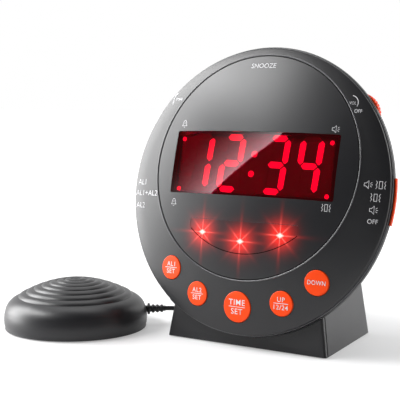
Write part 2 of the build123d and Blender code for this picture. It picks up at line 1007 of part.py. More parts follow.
knob_neck_front = 3.6
knob_neck_back = 4.7
knob_neck_long = 4.0
knob_lever_inner = 65.8
knob_slot_clearance = 0.3
knob_carrier_outer = 71.3
knob_carrier_thick = 1.5
knob_carrier_front = 3.3
knob_carrier_back = 6.3
knob_carrier_long = 10.0
knob_corner_round = 0.3
lever_slot_inner = 63.6
slide_switch_inner = 61.0
slide_switch_outer = 67.2
slide_switch_front = 2.7
slide_switch_slot_gap = 0.4
slide_switch_end = 2.0
knob_neck_span = degrees(knob_neck_long / disc_radius)
knob_carrier_span = degrees(knob_carrier_long / disc_radius)


def slide_knob(middle, span):
    """Curved cap on the rim, with its neck, carrier and lever inside."""
    low = disc_radius + knob_clearance
    high = disc_radius + knob_proud
    back_low = bowl_radius(knob_back_depth) + knob_clearance
    back_high = bowl_radius(knob_back_depth) + knob_proud
    cap = [
        (low, knob_front_depth),
        (high, knob_front_depth),
        (high, rim_depth),
        (back_high, knob_back_depth),
        (back_low, knob_back_depth),
        (low, rim_depth),
    ]
    neck_box = [
        (knob_lever_inner, knob_neck_front),
        (low + (high - low) / 2, knob_neck_front),
        (low + (high - low) / 2, knob_neck_back),
        (knob_lever_inner, knob_neck_back),
    ]
    carrier = [
        (knob_carrier_outer - knob_carrier_thick, knob_carrier_front),
        (knob_carrier_outer, knob_carrier_front),
        (knob_carrier_outer, knob_carrier_back),
        (knob_carrier_outer - knob_carrier_thick, knob_carrier_back),
    ]
    with BuildPart() as solid:
        add(arc_piece(cap, middle, span))
        fillet(solid.edges().filter_by(lambda edge: edge.length < knob_proud), knob_corner_round)
        add(arc_piece(neck_box, middle, knob_neck_span))
        add(arc_piece(carrier, middle, knob_carrier_span))
    return solid.part


def slide_slot(middle, down, up):
    """Slot in the rim for a knob's neck over its travel."""
    inner = disc_radius - 2 * wall
    points = [
        (inner, knob_neck_front - knob_slot_clearance),
        (disc_radius + overrun, knob_neck_front - knob_slot_clearance),
        (disc_radius + overrun, knob_neck_back + knob_slot_clearance),
        (inner, knob_neck_back + knob_slot_clearance),
    ]
    spare = degrees(knob_slot_clearance / disc_radius)
    return arc_piece(points, middle + (up - down) / 2, down + up + knob_neck_span + 2 * spare)


def slide_switch(side, low_angle, high_angle):
    """Slide switch on the display board's ear, with a slot for the lever."""
    lever_half = knob_neck_long / 2
    slot_low = slide_switch_outer * tan(radians(low_angle)) - lever_half - slide_switch_slot_gap
    slot_high = slide_switch_outer * tan(radians(high_angle)) + lever_half + slide_switch_slot_gap
    middle_y = (slot_low + slot_high) / 2
    body_x = (slide_switch_inner + slide_switch_outer) / 2
    body_wide = slide_switch_outer - slide_switch_inner
    slot_x = (lever_slot_inner + slide_switch_outer + overrun) / 2
    slot_front = knob_neck_front - slide_switch_slot_gap
    slot_back = knob_neck_back + slide_switch_slot_gap
    with BuildPart() as solid:
        with BuildSketch(disc.offset(-display_board_depth)):
            with Locations((side * body_x, middle_y)):
                Rectangle(body_wide, slot_high - slot_low + 2 * slide_switch_end)
        extrude(amount=display_board_depth - slide_switch_front)
        with BuildSketch(disc.offset(-slot_back)):
            with Locations((side * slot_x, middle_y)):
                Rectangle(slide_switch_outer + overrun - lever_slot_inner, slot_high - slot_low)
        extrude(amount=slot_back - slot_front, mode=Mode.SUBTRACT)
    return solid.part


with BuildPart() as alarm_mode_knob:
    add(slide_knob(mode_knob_angle, mode_knob_span))

alarm_mode_knob.part.label = "alarm_mode_knob"
export_step(alarm_mode_knob.part, "parts/alarm_mode_knob.step")

with BuildPart() as alarm_mode_switch:
    add(slide_switch(1, mode_knob_angle - mode_travel_down, mode_knob_angle + mode_travel_up))

alarm_mode_switch.part.label = "alarm_mode_switch"
export_step(alarm_mode_switch.part, "parts/alarm_mode_switch.step")

with BuildPart() as alarm_select_knob:
    add(slide_knob(select_knob_angle, select_knob_span))

alarm_select_knob.part.label = "alarm_select_knob"
export_step(alarm_select_knob.part, "parts/alarm_select_knob.step")

with BuildPart() as alarm_select_switch:
    mirrored = 180 - select_knob_angle
    add(slide_switch(-1, mirrored - select_travel, mirrored + select_travel))

alarm_select_switch.part.label = "alarm_select_switch"
export_step(alarm_select_switch.part, "parts/alarm_select_switch.step")

# Snooze bar and the switch that its stem presses
top_plane = Plane(origin=disc.origin, x_dir=(1, 0, 0), z_dir=disc.y_dir)
snooze_middle = (snooze_front_depth + snooze_back_depth) / 2
snooze_deep = snooze_back_depth - snooze_front_depth
snooze_roof = 2.0
snooze_flange_reach = 1.2
snooze_flange_thick = 1.5
snooze_stem_radius = 2.6
snooze_tip_long = 6.0
snooze_switch_top = 48.0
snooze_switch_well = 1.8
snooze_stem_depth = main_back + switch_size / 2


def snooze_prism(grow, low, reach):
    """Upright prism with the snooze bar's outline."""
    with BuildPart() as solid:
        with BuildSketch(top_plane.offset(low)):
            with Locations((0, snooze_middle)):
                RectangleRounded(
                    2 * (snooze_half_width + grow),
                    snooze_deep + 2 * grow,
                    snooze_corner + grow,
                )
        extrude(amount=reach)
    return solid.part


snooze_reach = disc_radius + snooze_proud - snooze_low_y
with BuildPart() as snooze_hollow:
    add(snooze_prism(-snooze_wall, snooze_low_y, snooze_reach))
    add(bowl(snooze_roof - snooze_proud, -overrun), mode=Mode.INTERSECT)

with BuildPart() as snooze_bar:
    add(snooze_prism(0, snooze_low_y, snooze_reach))
    add(bowl(-snooze_proud, 0), mode=Mode.INTERSECT)
    add(snooze_prism(snooze_flange_reach, snooze_low_y, snooze_flange_thick))
    add(snooze_hollow.part, mode=Mode.SUBTRACT)
    with BuildSketch(top_plane.offset(snooze_switch_top - stem_entry)):
        with Locations((0, snooze_stem_depth)):
            Circle(stem_radius)
    extrude(amount=snooze_tip_long + overrun)
    with BuildSketch(top_plane.offset(snooze_switch_top - stem_entry + snooze_tip_long)):
        with Locations((0, snooze_stem_depth)):
            Circle(snooze_stem_radius)
    extrude(amount=bowl_radius(snooze_stem_depth) - snooze_switch_top + stem_entry - snooze_tip_long)

snooze_bar.part.label = "snooze_bar"
export_step(snooze_bar.part, "parts/snooze_bar.step")

with BuildPart() as snooze_switch:
    with BuildSketch(top_plane.offset(snooze_switch_top - switch_high)):
        with Locations((0, snooze_stem_depth)):
            Rectangle(switch_size, switch_size)
    extrude(amount=switch_high)
    with BuildSketch(top_plane.offset(snooze_switch_top)):
        with Locations((0, snooze_stem_depth)):
            Circle(stem_well_radius)
    extrude(amount=-snooze_switch_well, mode=Mode.SUBTRACT)

snooze_switch.part.label = "snooze_switch"
export_step(snooze_switch.part, "parts/snooze_switch.step")

# Base cover with its bosses, foot recesses and board posts, and the screws that hold it
base_clearance = 0.2
base_thick = 2.0
base_top = foot_stand + base_thick
base_boss_radius = 4.2
base_boss_top = 4.4
base_screw_seat = 2.4
base_screw_tip = 13.0
base_post_radius = 3.0
base_post_top = 16.0
base_post_inset = 4.6
base_rib_half = 1.0
base_rib_reach = 0.7
base_post_rows = (-18.0, 22.0)
base_post_level = 8.0
screw_recess = 3.0
foot_radius = 5.0
foot_high = 1.8
foot_clearance = 0.1
foot_places = [(0.0, 0.0), (-29.0, -20.0), (29.0, -20.0), (-24.0, 22.0), (24.0, 22.0)]
jack_board_low = 5.6
jack_board_half = 30.8
jack_board_front = 12.0
jack_board_rear = 28.3
jack_post_places = [(-10.0, 16.0), (16.0, 16.0), (-10.0, 25.5), (16.0, 25.5)]
jack_board_top = jack_board_low + board_thick


def base_post_x(y):
    """X of a base screw near the right wall."""
    return stand_half(y, base_post_level) - wall - base_post_inset


base_post_places = [(side * base_post_x(y), y) for y in base_post_rows for side in (-1, 1)]


def base_block(top):
    """Block that fills the stand between its walls up to a height."""
    return stand_block(
        foot_stand,
        top,
        lambda z: seam_front(z) + base_clearance,
        lambda z: stand_rear(z) - wall - base_clearance,
        -wall - base_clearance,
    )


with BuildPart() as base_cover:
    with BuildSketch(Plane.XY.offset(foot_stand)):
        with Locations(*base_post_places):
            Circle(base_boss_radius)
    extrude(amount=base_boss_top - foot_stand)
    add(base_block(base_boss_top), mode=Mode.INTERSECT)
    add(base_block(base_top))
    with BuildSketch(Plane.XY.offset(base_top)):
        with Locations(*jack_post_places):
            Circle(small_post_radius)
    extrude(amount=jack_board_low - base_top)
    with BuildSketch():
        with Locations(*base_post_places):
            Circle(case_screw_hole)
    extrude(amount=base_boss_top, mode=Mode.SUBTRACT)
    with BuildSketch():
        with Locations(*base_post_places):
            Circle(screw_recess)
    extrude(amount=base_screw_seat, mode=Mode.SUBTRACT)
    with BuildSketch():
        with Locations(*foot_places):
            Circle(foot_radius + foot_clearance)
    extrude(amount=foot_high, mode=Mode.SUBTRACT)
    with BuildSketch(Plane.XY.offset(jack_board_low)):
        with Locations(*jack_post_places[0:2]):
            Circle(board_screw_pilot)
    extrude(amount=-base_thick, mode=Mode.SUBTRACT)

base_cover.part.label = "base_cover"
export_step(base_cover.part, "parts/base_cover.step")

with BuildPart() as rubber_feet:
    with BuildSketch():
        with Locations(*foot_places):
            Circle(foot_radius)
    extrude(amount=foot_high)
    fillet(rubber_feet.edges().group_by(Axis.Z)[0], foot_clearance * 3)

rubber_feet.part.label = "rubber_feet"
export_step(rubber_feet.part, "parts/rubber_feet.step")


def screw(seat, places, head_radius, head_high, radius, reach):
    """Screws whose heads stand off a seat plane, with shanks going the other way."""
    with BuildPart() as solid:
        with BuildSketch(seat):
            with Locations(*places):
                Circle(head_radius)
        extrude(amount=head_high)
        with BuildSketch(seat):
            with Locations(*places):
                Circle(radius)
        extrude(amount=-reach)
    return solid.part


base_seat = Plane(origin=(0, 0, base_screw_seat), x_dir=(1, 0, 0), z_dir=(0, 0, -1))
with BuildPart() as base_screws:
    add(
        screw(
            base_seat,
            [(x, -y) for x, y in base_post_places],
            case_screw_head,
            case_screw_head_high,
            case_screw_radius,
            base_screw_tip - base_screw_seat,
        )
    )

base_screws.part.label = "base_screws"
export_step(base_screws.part, "parts/base_screws.step")

case_seat = Plane(
    origin=disc.offset(-case_screw_seat).origin,
    x_dir=(1, 0, 0),
    z_dir=-disc.z_dir,
)
with BuildPart() as case_screws:
    add(
        screw(
            case_seat,
            [(x, -y) for x, y in post_places],
            case_screw_head,
            case_screw_head_high,
            case_screw_radius,
            case_screw_seat - case_screw_tip,
        )
    )

case_screws.part.label = "case_screws"
export_step(case_screws.part, "parts/case_screws.step")

# Rear cover: its posts, frames and collars
rear_post_radius = 3.6
speaker_post_radius = 2.4
speaker_post_high = 1.4
speaker_screw_ring = 27.6
speaker_screw_angles = (30.0, 150.0, 270.0)
speaker_screw_radius = 1.2
speaker_screw_pilot = 1.25
speaker_screw_head = 3.4
speaker_screw_head_high = 1.0
speaker_screw_reach = 2.8
speaker_seat = disc.offset(wall - case_depth)
speaker_screw_places = [
    (speaker_screw_ring * cos(radians(angle)), speaker_rise + speaker_screw_ring * sin(radians(angle)))
    for angle in speaker_screw_angles
]
grille_rings = {5.0: 6, 10.0: 12, 15.0: 18, 20.0: 24}
grille_hole = 1.3
snooze_collar = 1.6
snooze_collar_low = 57.3
pocket_half = 24.75
pocket_low = 25.5
pocket_high = 46.5
pocket_deep = 12.8
pocket_wall = 1.5
door_clearance = 0.25
door_recess = 1.8
frame_reach = 1.5
frame_deep = 3.6
tab_places = (-14.0, 14.0)
tab_wide = 6.0
tab_long = 1.5
tab_high = 1.0
tab_slot_spare = 0.4
tab_slot_high = 2.7
tab_slot_front = 0.7
tab_slot_back = 3.1
shaker_nose_radius = 3.0
power_nose_radius = 4.0
nose_clearance = 0.2
dimmer_knob = 3.0
dimmer_travel = 4.0
dimmer_spare = 0.3


def wall_box(low_x, high_x, low_y, high_y, deep, out):
    """Box on the rear wall, between two depths under its face."""
    with BuildPart() as solid:
        with BuildSketch(rear_wall_plane.offset(-deep)):
            with Locations(((low_x + high_x) / 2, (low_y + high_y) / 2)):
                Rectangle(high_x - low_x, high_y - low_y)
        extrude(amount=deep - out)
    return solid.part


rear_wall_upright = Plane(origin=(0, stand_rear_y, 0), x_dir=(1, 0, 0), z_dir=(0, -1, 0))
with BuildPart() as wall_openings:
    with BuildSketch(rear_wall_upright.offset(-overrun)):
        with Locations((shaker_socket_x, socket_z)):
            Circle(shaker_nose_radius + nose_clearance)
        with Locations((power_socket_x, socket_z)):
            Circle(power_nose_radius + nose_clearance)
        with Locations((dimmer_x, socket_z)):
            Rectangle(dimmer_knob + dimmer_travel + 2 * dimmer_spare, dimmer_knob + 2 * dimmer_spare)
    extrude(amount=3 * wall)

with BuildPart() as rear_posts:
    with BuildSketch(disc.offset(-main_back)):
        with Locations(*post_places):
            Circle(rear_post_radius)
    extrude(amount=main_back - case_depth)
    add(bowl_outer, mode=Mode.INTERSECT)

with BuildPart() as snooze_ring:
    add(snooze_prism(snooze_collar, snooze_collar_low, disc_radius - snooze_collar_low))
    add(bowl_outer, mode=Mode.INTERSECT)

with BuildPart() as wheel_openings:
    with BuildSketch(disc.offset(-wheel_back - wheel_clearance)):
        with Locations(polar(wheel_ring, wheel_angle), polar(wheel_ring, 180 - wheel_angle)):
            Circle(wheel_radius + wheel_clearance)
    extrude(amount=wheel_thick + 2 * wheel_clearance)

with BuildPart() as rear_cover:
    add(stand_outer.part)
    split(bisect_by=case_behind, keep=Keep.BOTTOM)
    add(bowl_outer)
    add(neck_rear, mode=Mode.SUBTRACT)
    add(bowl_inner, mode=Mode.SUBTRACT)
    add(stand_inner, mode=Mode.SUBTRACT)
    add(rear_posts.part)
    add(snooze_ring.part)
    with BuildSketch(Plane.XY.offset(base_boss_top)):
        with Locations(*base_post_places):
            Circle(base_post_radius)
        for x, y in base_post_places:
            reach = base_post_inset + base_rib_reach
            with Locations((x + (reach if x > 0 else -reach) / 2, y)):
                Rectangle(reach, 2 * base_rib_half)
    extrude(amount=base_post_top - base_boss_top)
    with BuildSketch(speaker_seat):
        with Locations(*speaker_screw_places):
            Circle(speaker_post_radius)
    extrude(amount=speaker_post_high)
    add(
        wall_box(
            -door_half_width - frame_reach,
            door_half_width + frame_reach,
            door_low - frame_reach,
            door_high + frame_reach,
            frame_deep,
            wall / 2,
        )
    )
    add(
        wall_box(
            -pocket_half - pocket_wall,
            pocket_half + pocket_wall,
            pocket_low - pocket_wall,
            pocket_high + pocket_wall,
            pocket_deep + pocket_wall,
            frame_deep / 2,
        )
    )
    add(
        wall_box(-pocket_half, pocket_half, pocket_low, pocket_high, pocket_deep, -overrun),
        mode=Mode.SUBTRACT,
    )
    add(
        wall_box(
            -door_half_width - door_clearance,
            door_half_width + door_clearance,
            door_low - door_clearance / 2,
            door_high + door_clearance,
            door_recess,
            -overrun,
        ),
        mode=Mode.SUBTRACT,
    )
    for tab_x in tab_places:
        add(
            wall_box(
                tab_x - tab_wide / 2 - door_clearance,
                tab_x + tab_wide / 2 + door_clearance,
                door_low - tab_long - tab_slot_spare,
                door_low + tab_slot_high,
                tab_slot_back,
                tab_slot_front,
            ),
            mode=Mode.SUBTRACT,
        )
    add(wall_openings.part, mode=Mode.SUBTRACT)
    add(wheel_openings.part, mode=Mode.SUBTRACT)
    add(snooze_prism(snooze_gap, snooze_low_y, disc_radius), mode=Mode.SUBTRACT)
    add(slide_slot(mode_knob_angle, mode_travel_down, mode_travel_up), mode=Mode.SUBTRACT)
    add(slide_slot(select_knob_angle, select_travel, select_travel), mode=Mode.SUBTRACT)
    with BuildSketch(disc.offset(-main_back)):
        with Locations(*post_places):
            Circle(case_screw_hole)
    extrude(amount=-(case_screw_seat - main_back), mode=Mode.SUBTRACT)
    with BuildSketch(disc.offset(-case_screw_seat)):
        with Locations(*post_places):
            Circle(screw_recess)
    extrude(amount=case_screw_seat - case_depth, mode=Mode.SUBTRACT)
    with BuildSketch(Plane.XY.offset(base_boss_top)):
        with Locations(*base_post_places):
            Circle(case_screw_pilot)
    extrude(amount=base_screw_tip - base_boss_top + overrun, mode=Mode.SUBTRACT)
    with BuildSketch(speaker_seat.offset(speaker_post_high)):
        with Locations(*speaker_screw_places):
            Circle(speaker_screw_pilot)
    extrude(amount=-speaker_screw_reach, mode=Mode.SUBTRACT)
    with BuildSketch(speaker_seat):
        with Locations((0, speaker_rise)):
            Circle(grille_hole)
            for ring, count in grille_rings.items():
                with PolarLocations(ring, count):
                    Circle(grille_hole)
    extrude(amount=-2 * wall, mode=Mode.SUBTRACT)

rear_cover.part.label = "rear_cover"
export_step(rear_cover.part, "parts/rear_cover.step")

# Loudspeaker behind the grille: basket, cone, magnet and screws
speaker_plane = Plane(
    origin=speaker_seat.origin + disc.y_dir * speaker_rise,
    x_dir=(1, 0, 0),
    z_dir=disc.y_dir * -1,
)
speaker_axis = Axis(speaker_plane.origin, disc.z_dir)
speaker_basket = [
    (25.0, 0),
    (25.0, 1.4),
    (22.6, 1.4),
    (15.0, 12.0),
    (6.0, 12.0),
    (6.0, 10.8),
    (13.6, 10.8),
    (21.0, 1.4),
    (21.0, 0),
]
speaker_paper = [
    (20.9, 0.3),
    (20.9, 0.8),
    (19.6, 1.9),
    (17.6, 1.3),
    (5.6, 8.4),
    (5.6, 10.2),
    (5.0, 10.2),
    (5.0, 7.7),
    (0, 6.2),
    (0, 5.7),
    (5.4, 7.2),
    (17.4, 0.8),
    (19.6, 1.4),
]
magnet_radius = 13.0
magnet_low = 12.0
magnet_high = 18.0
magnet_pole = 4.6
pole_low = 9.0

with BuildPart() as speaker_frame:
    with BuildSketch(speaker_plane):
        with BuildLine():
            Polyline(*speaker_basket, close=True)
        make_face()
    revolve(axis=speaker_axis)

speaker_frame.part.label = "speaker_frame"
export_step(speaker_frame.part, "parts/speaker_frame.step")

with BuildPart() as speaker_cone:
    with BuildSketch(speaker_plane):
        with BuildLine():
            Polyline(*speaker_paper, close=True)
        make_face()
    revolve(axis=speaker_axis)

speaker_cone.part.label = "speaker_cone"
export_step(speaker_cone.part, "parts/speaker_cone.step")

with BuildPart() as speaker_magnet:
    with BuildSketch(speaker_seat.offset(magnet_low)):
        with Locations((0, speaker_rise)):
            Circle(magnet_radius)
    extrude(amount=magnet_high - magnet_low)
    with BuildSketch(speaker_seat.offset(pole_low)):
        with Locations((0, speaker_rise)):
            Circle(magnet_pole)
    extrude(amount=magnet_low - pole_low)

speaker_magnet.part.label = "speaker_magnet"
export_step(speaker_magnet.part, "parts/speaker_magnet.step")

with BuildPart() as speaker_screws:
    add(
        screw(
            speaker_seat.offset(speaker_post_high),
            speaker_screw_places,
            speaker_screw_head,
            speaker_screw_head_high,
            speaker_screw_radius,
            speaker_screw_reach - speaker_screw_pilot / 4,
        )
    )

speaker_screws.part.label = "speaker_screws"
export_step(speaker_screws.part, "parts/speaker_screws.step")

# Board with the two sockets and the display dimmer behind the stand's rear wall
with BuildPart() as jack_board:
    with BuildSketch(Plane.XY.offset(jack_board_low)):
        with Locations((0, (jack_board_front + jack_board_rear) / 2)):
            Rectangle(2 * jack_board_half, jack_board_rear - jack_board_front)
        with Locations(*jack_post_places[0:2]):
            Circle(board_screw_hole, mode=Mode.SUBTRACT)
    extrude(amount=board_thick)

jack_board.part.label = "jack_board"
export_step(jack_board.part, "parts/jack_board.step")

jack_body_front = 14.5
jack_body_rear = 28.2
nose_end = 31.1
power_body_half = 4.5
shaker_body_half = 4.0
jack_body_top = 18.6
power_bore = 2.75
power_bore_deep = 9.5
power_pin = 1.0
shaker_bore = 1.8
shaker_bore_deep = 12.4


def socket(x, half, nose_radius, bore, deep):
    """Socket on the jack board with a round nose through the rear wall."""
    with BuildPart() as solid:
        with BuildSketch(Plane.XY.offset(jack_board_top)):
            with Locations((x, (jack_body_front + jack_body_rear) / 2)):
                Rectangle(2 * half, jack_body_rear - jack_body_front)
        extrude(amount=jack_body_top - jack_board_top)
        with BuildSketch(rear_wall_upright.offset(stand_rear_y - nose_end)):
            with Locations((x, socket_z)):
                Circle(nose_radius)
        extrude(amount=nose_end - jack_body_rear)
        with BuildSketch(rear_wall_upright.offset(stand_rear_y - nose_end)):
            with Locations((x, socket_z)):
                Circle(bore)
        extrude(amount=deep, mode=Mode.SUBTRACT)
    return solid.part


with BuildPart() as power_jack:
    add(socket(power_socket_x, power_body_half, power_nose_radius, power_bore, power_bore_deep))
    with BuildSketch(rear_wall_upright.offset(stand_rear_y - nose_end + power_pin)):
        with Locations((power_socket_x, socket_z)):
            Circle(power_pin)
    extrude(amount=power_bore_deep)

power_jack.part.label = "power_jack"
export_step(power_jack.part, "parts/power_jack.step")

with BuildPart() as shaker_jack:
    add(socket(shaker_socket_x, shaker_body_half, shaker_nose_radius, shaker_bore, shaker_bore_deep))

shaker_jack.part.label = "shaker_jack"
export_step(shaker_jack.part, "parts/shaker_jack.step")

dimmer_body_half = 6.0
dimmer_body_front = 22.5
dimmer_body_rear = 28.3
dimmer_body_top = 18.0
dimmer_knob_front = 25.0
dimmer_knob_rear = 32.3
dimmer_rest_x = dimmer_x - dimmer_travel / 2

with BuildPart() as dimmer_switch:
    with BuildSketch(Plane.XY.offset(jack_board_top)):
        with Locations((dimmer_x, (dimmer_body_front + dimmer_body_rear) / 2)):
            Rectangle(2 * dimmer_body_half, dimmer_body_rear - dimmer_body_front)
    extrude(amount=dimmer_body_top - jack_board_top)
    with BuildSketch(rear_wall_upright.offset(stand_rear_y - dimmer_body_rear)):
        with Locations((dimmer_x, socket_z)):
            Rectangle(dimmer_knob + dimmer_travel + 2 * dimmer_spare, dimmer_knob + 2 * dimmer_spare)
    extrude(amount=dimmer_body_rear - dimmer_knob_front + dimmer_spare, mode=Mode.SUBTRACT)

dimmer_switch.part.label = "dimmer_switch"
export_step(dimmer_switch.part, "parts/dimmer_switch.step")

with BuildPart() as dimmer_slider:
    with BuildSketch(rear_wall_upright.offset(stand_rear_y - dimmer_knob_rear)):
        with Locations((dimmer_rest_x, socket_z)):
            Rectangle(dimmer_knob, dimmer_knob)
    extrude(amount=dimmer_knob_rear - dimmer_knob_front)
    fillet(dimmer_slider.edges().group_by(Axis.Y)[-1], knob_corner_round)

dimmer_slider.part.label = "dimmer_slider"
export_step(dimmer_slider.part, "parts/dimmer_slider.step")

# Backup batteries with their contacts and the door
cell_body_long = 43.3
cell_nub_radius = 1.9
cell_rows = (30.85, 41.35)
cell_deep = 7.25
contact_thick = 0.4
contact_half_wide = 4.2
spring_low_radius = 3.6
spring_high_radius = 2.0

with BuildPart() as batteries:
    for row, end in zip(cell_rows, (1, -1)):
        start = Plane(
            origin=rear_wall_plane.from_local_coords((-end * cell_length / 2, row, -cell_deep)),
            x_dir=rear_wall_plane.y_dir,
            z_dir=rear_wall_plane.x_dir * end,
        )
        with BuildSketch(start):
            Circle(cell_radius)
        extrude(amount=cell_body_long)
        with BuildSketch(start.offset(cell_body_long)):
            Circle(cell_nub_radius)
        extrude(amount=cell_length - cell_body_long)

batteries.part.label = "batteries"
export_step(batteries.part, "parts/batteries.step")

with BuildPart() as battery_contacts:
    for row, end in zip(cell_rows, (1, -1)):
        for side in (-1, 1):
            plate = Plane(
                origin=rear_wall_plane.from_local_coords((side * pocket_half, row, -cell_deep)),
                x_dir=rear_wall_plane.y_dir,
                z_dir=rear_wall_plane.x_dir * -side,
            )
            with BuildSketch(plate):
                Rectangle(2 * contact_half_wide, 2 * contact_half_wide)
            extrude(amount=contact_thick)
            bump = pocket_half - cell_length / 2 - contact_thick
            with BuildSketch(plate.offset(contact_thick)):
                Circle(spring_low_radius)
            with BuildSketch(plate.offset(contact_thick + bump)):
                Circle(spring_high_radius)
            loft(ruled=True)

battery_contacts.part.label = "battery_contacts"
export_step(battery_contacts.part, "parts/battery_contacts.step")

with BuildPart() as battery_door:
    add(wall_box(-door_half_width, door_half_width, door_low, door_high, door_thick, 0))
    for tab_x in tab_places:
        add(
            wall_box(
                tab_x - tab_wide / 2,
                tab_x + tab_wide / 2,
                door_low - tab_long,
                door_low + tab_long,
                door_recess,
                door_recess - tab_high,
            )
        )

battery_door.part.label = "battery_door"
export_step(battery_door.part, "parts/battery_door.step")

# Shaker: a ridged round cap
shaker_plane = Plane.XY.move(Location((shaker_x, shaker_y, 0)))
shaker_axis = Axis((shaker_x, shaker_y, 0), (0, 0, 1))
shaker_meridian = Plane(origin=(shaker_x, shaker_y, 0), x_dir=(1, 0, 0), z_dir=(0, -1, 0))
cap_low = 2.4
cap_edge_radius = 39.2
cap_wide_z = 6.0
cap_shoulder = (38.9, 10.0)
cap_shoulder_middle = (36.2, 15.2)
cap_dome_radius = 56.4
cap_inside = [(36.6, 2.4), (36.5, 9.6), (34.4, 13.6), (31.0, 15.9)]
cap_post_place = 20.2
cap_post_radius = 2.8
cap_post_low = 4.2
cap_post_skin = 1.0
shaker_screw_tip = 12.0
relief_hole = 2.1
ridge_valley = ridge_pitch / 2
ridges_end = ridge_valley + ridge_count * ridge_pitch


def cap_dome(radius, drop=0):
    """Height of the cap's dome at a radius, under the tops of its ridges."""
    return shaker_height - drop - radius**2 / (2 * cap_dome_radius)


def cap_outline(closing):
    """Ridged outline of the cap from its edge to its middle, closed by further points."""
    valleys = [ridge_valley + number * ridge_pitch for number in range(ridge_count, -1, -1)]
    nub = (ridge_valley**2 + ridge_height**2) / (2 * ridge_height)
    half = asin(ridge_valley / nub) / 2
    with BuildSketch(shaker_meridian) as outline:
        with BuildLine():
            ThreePointArc((cap_edge_radius, cap_low), (shaker_radius, cap_wide_z), cap_shoulder)
            ThreePointArc(cap_shoulder, cap_shoulder_middle, (ridges_end, cap_dome(ridges_end, ridge_height)))
            for start, end in zip(valleys, valleys[1:]):
                crest = (start + end) / 2
                ThreePointArc(
                    (start, cap_dome(start, ridge_height)),
                    (crest, cap_dome(crest)),
                    (end, cap_dome(end, ridge_height)),
                )
            ThreePointArc(
                (ridge_valley, cap_dome(ridge_valley, ridge_height)),
                (nub * sin(half), cap_dome(ridge_valley) - nub * (1 - cos(half))),
                (0, cap_dome(ridge_valley)),
            )
            Polyline((0, cap_dome(ridge_valley)), *closing)
        make_face()
    return outline.sketch


with BuildPart() as cap_hollow:
    with BuildSketch(shaker_meridian):
        with BuildLine():
            top = cap_dome(0, ridge_height + shaker_wall)
            edge = cap_inside[-1]
            Polyline((0, 0), (cap_inside[0][0], 0), *cap_inside[0:2])
            ThreePointArc(cap_inside[1], cap_inside[2], edge)
            ThreePointArc(edge, (edge[0] / 2, cap_dome(edge[0] / 2, ridge_height + shaker_wall)), (0, top))
            Line((0, top), (0, 0))
        make_face()
    revolve(axis=shaker_axis)

with BuildPart() as cap_posts:
    with BuildSketch(shaker_plane.offset(cap_post_low)):
        with GridLocations(2 * cap_post_place, 2 * cap_post_place, 2, 2):
            Circle(cap_post_radius)
    extrude(amount=cap_dome(sqrt(2) * cap_post_place, ridge_height + cap_post_skin) - cap_post_low)

relief_out = Vector(cos(radians(lead_angle)), sin(radians(lead_angle)), 0)
relief_plane = Plane(
    origin=Vector(shaker_x, shaker_y, lead_z),
    x_dir=(0, 0, 1),
    z_dir=relief_out,
)

with BuildPart() as shaker_cap:
    add(cap_outline([(0, cap_low), (cap_edge_radius, cap_low)]))
    revolve(axis=shaker_axis)
    add(cap_hollow.part, mode=Mode.SUBTRACT)
    add(cap_posts.part)
    with BuildSketch(relief_plane.offset(shaker_radius / 2)):
        Circle(relief_hole)
    extrude(amount=shaker_radius, mode=Mode.SUBTRACT)
    with BuildSketch(shaker_plane.offset(cap_post_low)):
        with GridLocations(2 * cap_post_place, 2 * cap_post_place, 2, 2):
            Circle(case_screw_pilot)
    extrude(amount=shaker_screw_tip + overrun - cap_post_low, mode=Mode.SUBTRACT)

shaker_cap.part.label = "shaker_cap"
export_step(shaker_cap.part, "parts/shaker_cap.step")

# Shaker's base with its screws and pads
shaker_base_radius = 39.0
shaker_ring = (34.9, 36.3)
shaker_ring_top = 5.0
shaker_boss_radius = 4.4
shaker_pad_radius = 4.0
shaker_pad_high = 1.2
shaker_pad_ring = 28.0
bracket_screw_y = 14.0
bracket_foot_top = 4.4
bracket_pilot_low = 1.2

with BuildPart() as shaker_base:
    with BuildSketch(shaker_plane.offset(foot_stand)):
        Circle(shaker_base_radius)
    extrude(amount=cap_low - foot_stand)
    with BuildSketch(shaker_plane.offset(cap_low)):
        Circle(shaker_ring[1])
        Circle(shaker_ring[0], mode=Mode.SUBTRACT)
    extrude(amount=shaker_ring_top - cap_low)
    with BuildSketch(shaker_plane.offset(cap_low)):
        with GridLocations(2 * cap_post_place, 2 * cap_post_place, 2, 2):
            Circle(shaker_boss_radius)
    extrude(amount=cap_post_low - cap_low)
    with BuildSketch(shaker_plane):
        with GridLocations(2 * cap_post_place, 2 * cap_post_place, 2, 2):
            Circle(case_screw_hole)
    extrude(amount=cap_post_low, mode=Mode.SUBTRACT)
    with BuildSketch(shaker_plane):
        with GridLocations(2 * cap_post_place, 2 * cap_post_place, 2, 2):
            Circle(screw_recess)
    extrude(amount=base_screw_seat, mode=Mode.SUBTRACT)
    with BuildSketch(shaker_plane):
        with PolarLocations(shaker_pad_ring, 4):
            Circle(shaker_pad_radius + foot_clearance)
    extrude(amount=shaker_pad_high, mode=Mode.SUBTRACT)
    with BuildSketch(shaker_plane.offset(bracket_pilot_low)):
        with Locations((0, -bracket_screw_y), (0, bracket_screw_y)):
            Circle(board_screw_pilot)
    extrude(amount=cap_low, mode=Mode.SUBTRACT)

shaker_base.part.label = "shaker_base"
export_step(shaker_base.part, "parts/shaker_base.step")

with BuildPart() as shaker_pads:
    with BuildSketch(shaker_plane):
        with PolarLocations(shaker_pad_ring, 4):
            Circle(shaker_pad_radius)
    extrude(amount=shaker_pad_high)

shaker_pads.part.label = "shaker_pads"
export_step(shaker_pads.part, "parts/shaker_pads.step")

